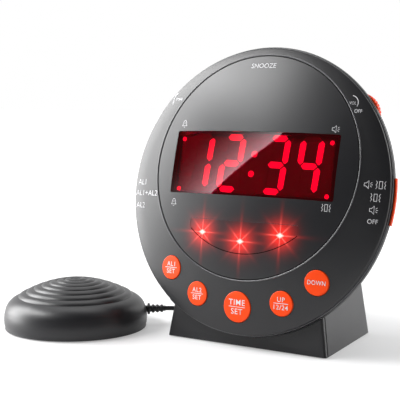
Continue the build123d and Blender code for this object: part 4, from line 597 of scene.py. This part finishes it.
def add_lamp_glow(material):
    """Adds the three alert lights' glow to a material's emission: red halos and pale cores."""
    tree = material.node_tree
    stars = []
    for x, up in LAMP_PLACES:
        centre = tuple(on_disc(x, up, float(dome_height(math.hypot(x, up)))))
        stars.append(add_node(tree, "Group", {"Centre": centre}, node_tree=glow_group()))
    light = []
    for socket, color in (("Halo", HALO_RED), ("Core", CORE_PALE)):
        first, second, third = (star.outputs[socket] for star in stars)
        total = reckon(tree, "ADD", reckon(tree, "ADD", first, second), third)
        scaled = add_node(tree, "VectorMath", {0: color, "Scale": total}, operation="SCALE")
        light.append(scaled.outputs["Vector"])
    both = add_node(tree, "VectorMath", dict(enumerate(light)), operation="ADD")
    shine(material, both.outputs["Vector"], LAMP_STRENGTH)


# Finishes: colour or the name of its setting, roughness, grains in a metre, their depth in metres, and
# any other values that moulded takes
MOULDED = {
    "case_plastic": ("case_color", 0.36, 1500.0, 5e-6),
    "panel_plastic": ("panel_color", 0.33, 1500.0, 4e-6),
    # Lighter, glossier plastic painted as highlight lines: the panel's edge, the rim's seam and the lens's
    # top
    "lip_plastic": ((0.05, 0.05, 0.055), 0.25, 1500.0, 2e-6, {"specular": 0.8}),
    # Black painted as the shade in gaps: round the panel and under the lens's low edge
    "groove_black": ((0.002, 0.002, 0.002), 0.9, 1500.0, 2e-6, {"specular": 0.1}),
    "alert_smoke": ((0.01, 0.008, 0.01), 0.3, 1500.0, 1e-6),
    "control_orange": ("control_color", 0.42, 1300.0, 5e-6, {"specular": 0.25}),
    "snooze_plastic": ((0.03, 0.03, 0.033), 0.42, 1200.0, 8e-6),
    "foot_rubber": ((0.02, 0.02, 0.021), 0.75, 1800.0, 2e-5),
    "shaker_plastic": ((0.014, 0.014, 0.016), 0.4, 1300.0, 8e-6),
    "cord_rubber": ((0.018, 0.018, 0.02), 0.45, 2200.0, 5e-6),
    "plug_rubber": ((0.02, 0.02, 0.022), 0.5, 2000.0, 6e-6),
    "circuit_green": ((0.012, 0.13, 0.045), 0.35, 700.0, 4e-6, {"coat": 0.4}),
    "component_black": ((0.02, 0.02, 0.022), 0.45, 1600.0, 8e-6),
    "header_black": ((0.025, 0.025, 0.025), 0.55, 1600.0, 8e-6),
    "capacitor_blue": ((0.02, 0.04, 0.2), 0.3, 1200.0, 3e-6, {"coat": 0.3}),
    "jack_plastic": ((0.02, 0.02, 0.02), 0.4, 1600.0, 8e-6),
    "cell_sleeve": ((0.3, 0.3, 0.32), 0.3, 900.0, 3e-6, {"coat": 0.3}),
    "bracket_plastic": ((0.42, 0.42, 0.4), 0.5, 1400.0, 6e-6),
    "cone_paper": ((0.035, 0.034, 0.033), 0.85, 1000.0, 3e-5),
    "basket_steel": ((0.06, 0.06, 0.065), 0.4, 900.0, 6e-6),
    "display_block": ((0.008, 0.0003, 0.0006), 0.5, 1200.0, 5e-6),
    "unlit_red": ((0.009, 0.0003, 0.0006), 0.5, 1200.0, 5e-6),
    "lit_red": ((0.35, 0.01, 0.02), 0.5, 1500.0, 2e-6),
    "face_print": ("print_color", 0.5, 1800.0, 2e-6, {"spread": 0.04}),
}
METALS = {
    "screw_steel": ((0.58, 0.58, 0.6), 0.32),
    "contact_steel": ((0.75, 0.75, 0.77), 0.2),
    "motor_steel": ((0.6, 0.6, 0.62), 0.35),
    "magnet_iron": ((0.25, 0.25, 0.26), 0.5),
    "weight_brass": ((0.78, 0.55, 0.22), 0.3),
}
METAL_GRAIN = (900.0, 3e-6, {"spread": 0.1, "metallic": 1.0})

# Even glows of finishes: colour or the name of its setting, and strength
GLOWS = {
    "lit_red": ("digit_color", 1.25),
    # The display block, the unlit segments and the window are no lamps: their glow is painted light, the dim
    # red seen in the window
    "display_block": ((0.003, 0.0, 0.0), 1.0),
    "unlit_red": ((0.0035, 0.0, 0.0), 1.0),
    "dark_red_window": ((0.009, 0.0002, 0.0003), 1.0),
}
# The panel and the lens take the alert lights' stars as glow: light painted on them round the lamps
LAMP_LIT = ("panel_plastic", "alert_smoke")


def chosen(color):
    """Colour with its alpha, from its three values or from the name of its setting."""
    if isinstance(color, str):
        color = getattr(bpy.context.scene.clock_finishes, color)
    return (*color, 1.0)


def finish(kind):
    """Finish by its kind, made once."""
    name = kind + "_finish"
    if name in bpy.data.materials:
        return bpy.data.materials[name]
    if kind == "dark_red_window":
        material = window_tint(name, chosen("window_color"))
    else:
        row = METALS[kind] + METAL_GRAIN if kind in METALS else MOULDED[kind]
        color, roughness, grain, depth, *others = row
        material = moulded(name, chosen(color), roughness, grain, depth, **dict(*others))
    if kind in GLOWS:
        color, strength = GLOWS[kind]
        shine(material, chosen(color), strength)
    if kind in LAMP_LIT:
        add_lamp_glow(material)
    return material


# Printing
def words_at(words, x, y, height, width_share=0.86, bold=-0.008, spacing=1.0):
    """Filled text as flat points and faces in millimetres, centred on a place."""
    curve = bpy.data.curves.new("words", "FONT")
    curve.body = words
    curve.align_x = "CENTER"
    curve.align_y = "CENTER"
    curve.resolution_u = 4
    curve.offset = bold
    curve.space_character = spacing
    holder = linked("words", curve)
    depsgraph = bpy.context.evaluated_depsgraph_get()
    mesh = bpy.data.meshes.new_from_object(holder.evaluated_get(depsgraph))
    points = points_of(mesh)[:, :2]
    faces = [tuple(face.vertices) for face in mesh.polygons]
    bpy.data.objects.remove(holder)
    bpy.data.curves.remove(curve)
    bpy.data.meshes.remove(mesh)
    low, high = points.min(axis=0), points.max(axis=0)
    points = (points - (low + high) / 2) * height / (high[1] - low[1])
    points[:, 0] *= width_share
    return points + (x, y), faces


def stroke(path, width, closed=False):
    """Flat ribbon along a path: each point moves to both sides along the mean normal of its runs."""
    path = np.asarray(path, dtype=float)
    ahead = np.roll(path, -1, axis=0) - path
    behind = path - np.roll(path, 1, axis=0)
    if not closed:
        ahead[-1] = behind[-1]
        behind[0] = ahead[0]
    ahead /= np.linalg.norm(ahead, axis=1)[:, None]
    behind /= np.linalg.norm(behind, axis=1)[:, None]
    mean = ahead + behind
    mean /= np.linalg.norm(mean, axis=1)[:, None]
    side = np.stack((-mean[:, 1], mean[:, 0]), axis=1)
    spread = 1 / np.clip((mean * ahead).sum(axis=1), 0.5, 1)
    reach = side * width / 2 * spread[:, None]
    points = np.concatenate((path - reach, path + reach))
    count = len(path)
    here = np.arange(count if closed else count - 1)
    after = (here + 1) % count
    return points, np.stack((here, after, after + count, here + count), axis=1)


def join_flat(parts):
    """Several flat shapes as one set of points and faces."""
    points, faces, base = [], [], 0
    for shape_points, shape_faces in parts:
        points.append(np.asarray(shape_points))
        faces.extend([tuple(int(i) + base for i in face) for face in shape_faces])
        base += len(shape_points)
    return np.concatenate(points), faces


def circle_path(x, y, radius, start, end, count):
    """Points of an arc between two angles in degrees."""
    angle = np.radians(np.linspace(start, end, count))
    return np.stack((x + radius * np.cos(angle), y + radius * np.sin(angle)), axis=1)


def sign(x, y, size, outline, lines):
    """Sign of thin strokes at a place: a closed outline and open lines, in halves of its size."""
    parts = [stroke(outline * size / 2 + (x, y), SIGN_LINE, True)]
    parts += [stroke(line * size / 2 + (x, y), SIGN_LINE) for line in lines]
    return join_flat(parts)


def speaker_sign(x, y, size):
    """Loudspeaker sign: an outlined box and horn with three short rays."""
    upper = np.array(((-1.0, 0.35), (-0.55, 0.35), (0.05, 0.95)))
    horn = np.concatenate((upper, (upper * (1, -1))[::-1]))
    turns = np.radians((-35, 0, 35))
    rays = [np.outer((0.5, 1.0), (math.cos(turn), math.sin(turn))) for turn in turns]
    return sign(x, y, size, horn, rays)


def shaker_sign(x, y, size):
    """Vibration sign: an upright box between two zigzag lines."""
    box = np.array(((-0.3, -0.72), (0.3, -0.72), (0.3, 0.72), (-0.3, 0.72)))
    zigzag = 0.82 + 0.11 * np.array((1, -1, 1, -1, 1))
    waves = [np.stack((side * zigzag, np.linspace(-0.8, 0.8, 5)), axis=1) for side in (-1, 1)]
    return sign(x, y, size, box, waves)


def bell_sign(x, y, size):
    """Alarm sign: a small outlined bell with its clapper and a dash."""
    half = np.array(((-0.7, -0.55), (-0.5, -0.3), (-0.46, 0.25), (-0.25, 0.62), (0.0, 0.78)))
    outline = np.concatenate((half, (half * (-1, 1))[-2::-1]))
    clapper = circle_path(0.0, -0.72, 0.18, 200, 340, 6)
    return sign(x, y, size, outline, (clapper, np.array(((0.0, -0.1), (0.0, 0.3)))))


def printed(name, parts, body=CLOCK, proud=0.0, kind="face_print"):
    """Printing, or a thin strip of another finish, laid on the domed face as one piece."""
    flat, faces = join_flat(parts)
    lift = bpy.context.scene.clock_sizes.print_lift
    mesh = mesh_from(name, wrap_to_face(flat, lift, proud), faces)
    with edited(mesh) as work:
        out = Vector(DISC_OUT)
        turn = [face for face in work.faces if face.normal.dot(out) < 0]
        bmesh.ops.reverse_faces(work, faces=turn)
    return new_piece(name, mesh, kind, body)


# Operators
class CLOCK_OT_stage(bpy.types.Operator):
    """Adds the camera, the soft lights, the floor and the pale surroundings."""

    bl_idname = "clock.stage"
    bl_label = "Stage"

    def execute(self, context):
        scene = context.scene
        scene.view_settings.view_transform = "Standard"
        self.add_camera(scene)
        self.add_lights(scene.clock_stage)
        self.add_floor(scene)
        self.add_world(scene)
        return {"FINISHED"}

    def add_camera(self, scene):
        """Camera at its fitted place, turned to its target."""
        data = bpy.data.cameras.new("photo_camera")
        data.lens = CAMERA_LENS
        data.sensor_width = CAMERA_SENSOR
        camera = linked("photo_camera", data)
        camera.location = CAMERA_PLACE
        look = Vector(CAMERA_TARGET) - Vector(CAMERA_PLACE)
        camera.rotation_euler = look.to_track_quat("-Z", "Y").to_euler()
        scene.camera = camera

    def add_lights(self, settings):
        """Card with its sharp edge, and the plain lights."""
        card = self.add_light(
            "sheen_card", CARD_MIDDLE, CARD_FACING, settings.card_power, CARD_LONG, CARD_WIDE, CARD_ALONG
        )
        self.fade_across(card.data, settings.card_fall)
        for name, (place, wide, high) in LIGHTS.items():
            power = getattr(settings, name + "_power")
            facing = Vector(LIGHT_AIM) - Vector(place)
            self.add_light(name + "_light", place, facing, power, wide, high)

    def add_light(self, name, place, facing, power, wide, high, along=None):
        """Soft rectangle that shines along a direction, turned so that its width lies along another."""
        data = bpy.data.lights.new(name, "AREA")
        data.shape = "RECTANGLE"
        data.size = wide
        data.size_y = high
        data.energy = power
        light = linked(name, data)
        light.location = place
        back = -Vector(facing).normalized()
        if along is None:
            turn = (-back).to_track_quat("-Z", "Y").to_matrix()
        else:
            right = Vector(along).normalized()
            turn = Matrix((right, back.cross(right), back)).transposed()
        light.rotation_euler = turn.to_euler()
        return light

    def fade_across(self, light, power):
        """Lets a light fall off across its height: its strength is a power of the share of the height."""
        light.use_nodes = True
        tree = light.node_tree
        place = add_node(tree, "NewGeometry").outputs["Parametric"]
        share = add_node(tree, "SeparateXYZ", {0: place}).outputs["Y"]
        wire(tree, tree.nodes["Emission"], {"Strength": reckon(tree, "POWER", share, power)})

    def add_floor(self, scene):
        """Wide floor under the clock."""
        corners = np.array(((-1, -1, 0), (1, -1, 0), (1, 1, 0), (-1, 1, 0))) * FLOOR_HALF
        mesh = mesh_from("floor", corners, [(0, 1, 2, 3)], smooth=False)
        mesh.materials.append(self.floor_finish((*scene.clock_stage.floor_color, 1.0)))
        linked("floor", mesh)

    def floor_finish(self, color):
        """Pale floor that keeps the shadow, and glows more to the camera, and to glossy and clear rays, the
        farther it lies from the clock."""
        material, tree, shader = new_material("studio_floor")
        path = add_node(tree, "LightPath").outputs
        place = add_node(tree, "TexCoord").outputs["Object"]
        length = add_node(tree, "VectorMath", {0: place}, operation="LENGTH").outputs["Value"]
        inputs = {"Value": length, "From Min": FLOOR_NEAR, "From Max": FLOOR_FAR, "To Min": FLOOR_NEAR_GLOW}
        glow = add_node(tree, "MapRange", inputs, interpolation_type="SMOOTHSTEP").outputs["Result"]
        seen = reckon(tree, "MAXIMUM", path["Is Camera Ray"], path["Is Glossy Ray"])
        seen = reckon(tree, "MAXIMUM", seen, path["Is Transmission Ray"])
        inputs = {
            "Base Color": color,
            "Roughness": 0.6,
            "Specular IOR Level": 0.2,
            "Emission Color": WHITE,
            "Emission Strength": reckon(tree, "MULTIPLY", seen, glow),
        }
        wire(tree, shader, inputs)
        return material

    def add_world(self, scene):
        """Surroundings that light the clock a little, and are white to the camera, and to glossy and clear
        rays that leave to the rear."""
        world = bpy.data.worlds.new("studio")
        world.use_nodes = True
        scene.world = world
        tree = world.node_tree
        tree.nodes.clear()
        path = add_node(tree, "LightPath").outputs
        place = add_node(tree, "TexCoord").outputs["Generated"]
        depth = add_node(tree, "SeparateXYZ", {0: place}).outputs["Y"]
        inputs = {"Value": depth, "From Min": -0.1, "From Max": 0.3}
        behind = add_node(tree, "MapRange", inputs, interpolation_type="SMOOTHSTEP").outputs["Result"]
        clear = reckon(tree, "MAXIMUM", path["Is Glossy Ray"], path["Is Transmission Ray"])
        rear = reckon(tree, "MULTIPLY", clear, behind)
        share = reckon(tree, "MAXIMUM", path["Is Camera Ray"], rear)
        inputs = {"Value": path["Is Glossy Ray"], "To Min": WORLD_LIGHT, "To Max": WORLD_GLOSS}
        dim = add_node(tree, "MapRange", inputs).outputs["Result"]
        ambient = add_node(tree, "Background", {"Color": WHITE, "Strength": dim})
        seen = add_node(tree, "Background", {"Color": WHITE, "Strength": 1.0})
        inputs = {"Fac": share, 1: ambient.outputs[0], 2: seen.outputs[0]}
        choice = add_node(tree, "MixShader", inputs)
        add_node(tree, "OutputWorld", {"Surface": choice.outputs[0]})


class CLOCK_OT_cord(bpy.types.Operator):
    """Lays the lead from the shaker through its coil to its plug."""

    bl_idname = "clock.cord"
    bl_label = "Shaker cord"

    def execute(self, context):
        coil = self.coil_points()
        points = np.concatenate((np.array(LEAD_POINTS), coil, np.array(END_POINTS))) * MM
        curve = bpy.data.curves.new("shaker_cord", "CURVE")
        curve.dimensions = "3D"
        curve.resolution_u = 6
        diameter = context.scene.clock_sizes.cord_diameter
        curve.bevel_depth = diameter / 2
        curve.bevel_resolution = 4
        curve.use_fill_caps = True
        spline = curve.splines.new("NURBS")
        spline.points.add(len(points) - 1)
        spline.points.foreach_set("co", np.concatenate((points, np.ones((len(points), 1))), axis=1).ravel())
        spline.order_u = 3
        spline.use_endpoint_u = True
        curve.materials.append(finish("cord_rubber"))
        cord = linked("shaker_cord", curve)
        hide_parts("shaker_cord_lead", "shaker_cord_coil", "shaker_cord_end")
        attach(cord, CLOCK)
        plug = dressed("shaker_plug", "plug_rubber")
        return {"FINISHED"}

    def coil_points(self):
        """Control points of the coil: half turns clockwise about centres on one line, each half a pitch
        smaller going in and larger going out, with a rise of one pitch in the half turn between layers.
        They stand a little outside its turns, because the spline cuts inside them."""
        rows = []
        x, z, side, radius = COIL_X - COIL_RADIUS, CORD_Z, 1, COIL_RADIUS
        share = np.arange(POINTS_PER_HALF_TURN) / POINTS_PER_HALF_TURN
        swell = 1 / np.cos(np.pi / POINTS_PER_HALF_TURN / 2) ** COIL_SWELL
        for layer in range(COIL_LAYERS):
            step = COIL_PITCH / 2 * (-1 if layer % 2 == 0 else 1)
            halves = [(radius + k * step, 0.0) for k in range(COIL_HALF_TURNS)]
            reverse = radius + COIL_HALF_TURNS * step
            if layer < COIL_LAYERS - 1:
                halves.append((reverse, COIL_PITCH))
                radius = reverse - step
            for index, (reach, rise) in enumerate(halves):
                last = layer == COIL_LAYERS - 1 and index == COIL_HALF_TURNS - 1
                part = share[: POINTS_PER_HALF_TURN // 2 + 1] if last else share
                turn = np.pi * part
                centre = x + side * reach
                ring = side * reach * swell
                across, back = centre - ring * np.cos(turn), COIL_Y + ring * np.sin(turn)
                rows.append(np.stack((across, back, z + rise * (1 - np.cos(turn)) / 2), axis=1))
                x += side * 2 * reach
                z += rise
                side = -side
        return np.concatenate(rows)


class CLOCK_OT_case(bpy.types.Operator):
    """Dresses the covers, the face panel, the feet and the screws."""

    bl_idname = "clock.case"
    bl_label = "Case"

    def execute(self, context):
        for node in ("front_cover", "rear_cover", "base_cover"):
            dressed(node, "case_plastic")
        dressed("battery_door", "case_plastic", "battery_door_body")
        dressed("face_panel", "panel_plastic")
        # Beads: painted shade in the panel's gap, and painted highlights along its edge and in the rim's seam
        for name, row in BEADS.items():
            bead(name, *row)
        paint_nodes("foot_rubber", "rubber_feet")
        for node in ("base_screws", "case_screws", "board_screws"):
            dressed(node, "screw_steel")
        return {"FINISHED"}


class CLOCK_OT_display(bpy.types.Operator):
    """Dresses the display: its window, its block and its segments."""

    bl_idname = "clock.display"
    bl_label = "Display"

    def execute(self, context):
        dressed("display_window", "dark_red_window")
        paint_nodes("display_block", "display_module")
        digits = dressed("segments_lit", "lit_red")
        self.part_bars(digits.data)
        paint_nodes("unlit_red", "segments_dark")
        return {"FINISHED"}

    def part_bars(self, mesh):
        """Points the round ends of each long bar and draws them in, so that dark gaps part the bars.
        Corners get the lowest number that reaches them along edges, and each number's corners are one
        bar. At the share t of the way out along a round end, its width is scaled by the root of
        (1 - t) / (1 + t)."""
        points = points_of(mesh)
        edges = np.empty(len(mesh.edges) * 2, dtype=np.int32)
        mesh.edges.foreach_get("vertices", edges)
        edges = edges.reshape(-1, 2)
        number = np.arange(len(points))
        before = None
        while before is None or (before != number).any():
            before = number.copy()
            lowest = number[edges].min(axis=1)
            np.minimum.at(number, edges[:, 0], lowest)
            np.minimum.at(number, edges[:, 1], lowest)
        _, bar = np.unique(number, return_inverse=True)
        middle = np.stack([np.bincount(bar, column) for column in points.T], axis=1)
        middle /= np.bincount(bar)[:, None]
        offset = points - middle[bar]
        spread = np.zeros((len(middle), 3, 3))
        np.add.at(spread, bar, offset[:, :, None] * offset[:, None, :])
        axes = np.linalg.eigh(spread)[1]
        lengthways, sideways = axes[bar, :, 2], axes[bar, :, 1]
        along = (offset * lengthways).sum(axis=1)
        across = (offset * sideways).sum(axis=1)
        reach, half_width = np.zeros(len(middle)), np.zeros(len(middle))
        np.maximum.at(reach, bar, np.abs(along))
        np.maximum.at(half_width, bar, np.abs(across))
        reach, half_width = reach[bar], half_width[bar]
        share = np.clip((np.abs(along) - reach + half_width) / half_width, 0, 1)
        narrow = np.sqrt((1 - share) / (1 + share)) - 1
        shift = (across * narrow)[:, None] * sideways
        shift -= (along / reach)[:, None] * lengthways * BAR_DRAW_IN
        points += (reach > LONG_BAR)[:, None] * shift
        mesh.vertices.foreach_set("co", points.ravel())
        mesh.update()


class CLOCK_OT_alert_lights(bpy.types.Operator):
    """Dresses the alert lights and the smoky lens over them, and paints a shadow line under the lens's low
    edge and a highlight line along its top.
    """

    bl_idname = "clock.alert_lights"
    bl_label = "Alert lights"

    def execute(self, context):
        dressed("alert_lens", "alert_smoke")
        dressed("alert_lamps", "lit_red")
        # Painted shadow along the lens's low edge, and painted highlight along its top
        low_edge_shadow = stroke(circle_path(0, LENS_ARC_RISE, LENS_ARC_RADIUS, 230, 310, 48), LENS_LINE_WIDTH)
        printed("alert_lens_shadow", [low_edge_shadow], kind="groove_black")
        across = np.linspace(-LENS_HALF_WIDTH, LENS_HALF_WIDTH, 40)
        top_edge_highlight = stroke(np.stack((across, np.full(40, LENS_TOP)), axis=1), LENS_LINE_WIDTH / 2)
        printed("alert_lens_edge", [top_edge_highlight], kind="lip_plastic")
        return {"FINISHED"}


class CLOCK_OT_buttons(bpy.types.Operator):
    """Dresses the five push buttons and prints their words."""

    bl_idname = "clock.buttons"
    bl_label = "Buttons"

    def execute(self, context):
        for name, (x, up, lines) in BUTTONS.items():
            body = f"button_{name}_body"
            dressed(f"button_{name}", "control_orange", body, angle=40.0)
            grow = TIME_GROWTH if name == "time" else 1.0
            height, wide, spacing = BUTTON_WORDS[len(lines)]
            rise, half = BUTTON_ROW * (len(lines) - 1) * grow, BUTTON_RULE * grow
            parts = [
                words_at(words, x, place, height * grow, wide, BUTTON_BOLD, spacing)
                for place, words in zip((up + rise, up - rise), lines)
            ]
            if rise:
                parts.append(stroke(((x - half, up), (x + half, up)), BUTTON_RULE_WIDTH))
            printed(f"button_{name}_print", parts, body, BUTTON_PROUD)
        return {"FINISHED"}


class CLOCK_OT_face_print(bpy.types.Operator):
    """Prints the words and signs of the face, each at its place across and up the disc."""

    bl_idname = "clock.face_print"
    bl_label = "Face printing"

    def execute(self, context):
        height = context.scene.clock_sizes.letter_height / MM
        ring = [
            words_at("SNOOZE", -1.0, 64.2, height * 0.95, 1.0),
            words_at("VOL", 50.6, 45.0, height * 0.6, 0.8),
            stroke(circle_path(49.3, 44.9, 3.95, -24, 80, 12), ARC_LINE),
            words_at("OFF", 53.9, 41.0, height * 0.68),
            words_at("TONE", -51.6, 46.6, height * 0.56, bold=0.015),
            stroke(circle_path(-50.3, 45.6, 5.4, 118, 200, 12), ARC_LINE),
            words_at("AL1", -69.2, 0.7, height * 1.1, 0.95),
            words_at("AL1+AL2", -65.0, -5.2, height * 1.1, 1.0),
            words_at("AL2", -68.6, -11.9, height * 1.1, 0.95),
            speaker_sign(63.6, 5.2, 4.0),
            shaker_sign(69.4, 5.4, 4.8),
            shaker_sign(67.5, -0.8, 4.8),
            speaker_sign(67.3, -6.8, 4.0),
            words_at("OFF", 67.2, -12.3, height * 0.82, 0.95),
        ]
        printed("ring_print", ring)
        panel = [
            bell_sign(-44.1, 32.9, 4.6),
            bell_sign(-44.1, -9.4, 4.6),
            speaker_sign(44.4, 31.4, 3.8),
            shaker_sign(44.3, -7.6, 4.6),
        ]
        printed("panel_print", panel)
        return {"FINISHED"}


class CLOCK_OT_side_controls(bpy.types.Operator):
    """Dresses the rim wheels, the rim sliders and the snooze bar."""

    bl_idname = "clock.side_controls"
    bl_label = "Side controls"

    def execute(self, context):
        for node in ("volume_wheel", "tone_wheel", "alarm_mode_knob", "alarm_select_knob"):
            dressed(node, "control_orange", node + "_body")
        dressed("snooze_bar", "snooze_plastic", "snooze_bar_body")
        paint_nodes("component_black", "volume_control", "tone_control", "snooze_switch")
        paint_nodes("component_black", "alarm_mode_switch", "alarm_select_switch")
        return {"FINISHED"}


class CLOCK_OT_back(bpy.types.Operator):
    """Dresses what shows at the back: sockets, dimmer, cells and loudspeaker."""

    bl_idname = "clock.back"
    bl_label = "Back and sound"

    def execute(self, context):
        for node in ("power_jack", "shaker_jack"):
            dressed(node, "jack_plastic")
        dressed("dimmer_slider", "control_orange", "dimmer_slider_body")
        paint_nodes("component_black", "dimmer_switch")
        dressed("batteries", "cell_sleeve")
        paint_nodes("contact_steel", "battery_contacts")
        dressed("speaker_frame", "basket_steel")
        dressed("speaker_cone", "cone_paper")
        dressed("speaker_magnet", "magnet_iron")
        paint_nodes("screw_steel", "speaker_screws")
        return {"FINISHED"}


class CLOCK_OT_insides(bpy.types.Operator):
    """Gives the boards and their parts their finishes."""

    bl_idname = "clock.insides"
    bl_label = "Boards"

    def execute(self, context):
        paint_nodes("circuit_green", "display_board", "button_board", "main_board", "jack_board")
        paint_nodes("component_black", "push_switches", "controller_chips")
        paint_nodes("header_black", "board_headers")
        paint_nodes("capacitor_blue", "capacitors")
        return {"FINISHED"}


class CLOCK_OT_shaker(bpy.types.Operator):
    """Dresses the shaker, its motor and the relief of its lead."""

    bl_idname = "clock.shaker"
    bl_label = "Shaker"

    def execute(self, context):
        for node in ("shaker_cap", "shaker_base"):
            dressed(node, "shaker_plastic", angle=34.0)
        paint_nodes("foot_rubber", "shaker_pads")
        dressed("shaker_screws", "screw_steel")
        dressed("shaker_motor", "motor_steel")
        dressed("motor_bracket", "bracket_plastic")
        dressed("shaker_weight", "weight_brass", "shaker_weight_body")
        self.relief_sleeve()
        return {"FINISHED"}

    def relief_sleeve(self):
        """Tapered sleeve round the lead: its radius at height h from the shaker's middle is a straight
        taper, or where it is more, a rib's: core + (top - core) sqrt(1 - s^4), s the share of its half."""
        out = np.array(LEAD_POINTS[1]) - np.array(LEAD_POINTS[0])
        out /= np.linalg.norm(out)
        height = np.linspace(RELIEF_START, RELIEF_END, 240)
        core = np.interp(height, (RELIEF_START, RELIEF_END), RELIEF_CORE)
        radius = core.copy()
        for middle, half, top in RELIEF_RIBS:
            share = np.clip(np.abs(height - middle) / half, 0, 1)
            radius = np.maximum(radius, core + (top - core) * np.sqrt(1 - share**4))
        profile = np.stack((radius, height), axis=1)
        profile = np.concatenate((((0.0, RELIEF_START),), profile, ((0.0, RELIEF_END),))) * MM
        origin = (np.array(LEAD_POINTS[0]) - out * RELIEF_END) * MM
        mesh = turned("relief_sleeve", profile, origin, out, (0, 0, 1), 40)
        soften(mesh, 50.0)
        sleeve = new_piece("relief_sleeve", mesh, "cord_rubber", CLOCK)
        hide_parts("shaker_strain_relief")


class CLOCK_PT_panel(bpy.types.Panel):
    """Lists the steps and the finishes of the clock."""

    bl_idname = "CLOCK_PT_panel"
    bl_label = "Alarm Clock"
    bl_space_type = "VIEW_3D"
    bl_region_type = "UI"
    bl_category = "Alarm Clock"

    def draw(self, context):
        layout = self.layout
        for step in STEPS:
            layout.operator(step.bl_idname)
        for group in (context.scene.clock_finishes, context.scene.clock_sizes, context.scene.clock_stage):
            box = layout.box()
            for name in group.bl_rna.properties.keys():
                if name not in ("rna_type", "name"):
                    box.prop(group, name)


STEPS = (
    CLOCK_OT_stage,
    CLOCK_OT_cord,
    CLOCK_OT_case,
    CLOCK_OT_display,
    CLOCK_OT_alert_lights,
    CLOCK_OT_buttons,
    CLOCK_OT_face_print,
    CLOCK_OT_side_controls,
    CLOCK_OT_back,
    CLOCK_OT_insides,
    CLOCK_OT_shaker,
)
GROUPS = {
    "clock_finishes": ClockFinishes,
    "clock_sizes": ClockSizes,
    "clock_stage": ClockStage,
}


def register():
    """Registers the settings, the steps and the panel."""
    for name, group in GROUPS.items():
        bpy.utils.register_class(group)
        setattr(bpy.types.Scene, name, bpy.props.PointerProperty(type=group))
    for step in STEPS:
        bpy.utils.register_class(step)
    bpy.utils.register_class(CLOCK_PT_panel)


def unregister():
    """Takes the panel, the steps and the settings away again."""
    bpy.utils.unregister_class(CLOCK_PT_panel)
    for step in reversed(STEPS):
        bpy.utils.unregister_class(step)
    for name, group in reversed(GROUPS.items()):
        delattr(bpy.types.Scene, name)
        bpy.utils.unregister_class(group)


def main():
    """Registers the add-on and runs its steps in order."""
    register()
    bpy.ops.clock.stage()
    bpy.ops.clock.cord()
    bpy.ops.clock.case()
    bpy.ops.clock.display()
    bpy.ops.clock.alert_lights()
    bpy.ops.clock.buttons()
    bpy.ops.clock.face_print()
    bpy.ops.clock.side_controls()
    bpy.ops.clock.back()
    bpy.ops.clock.insides()
    bpy.ops.clock.shaker()


if __name__ == "__main__":
    main()
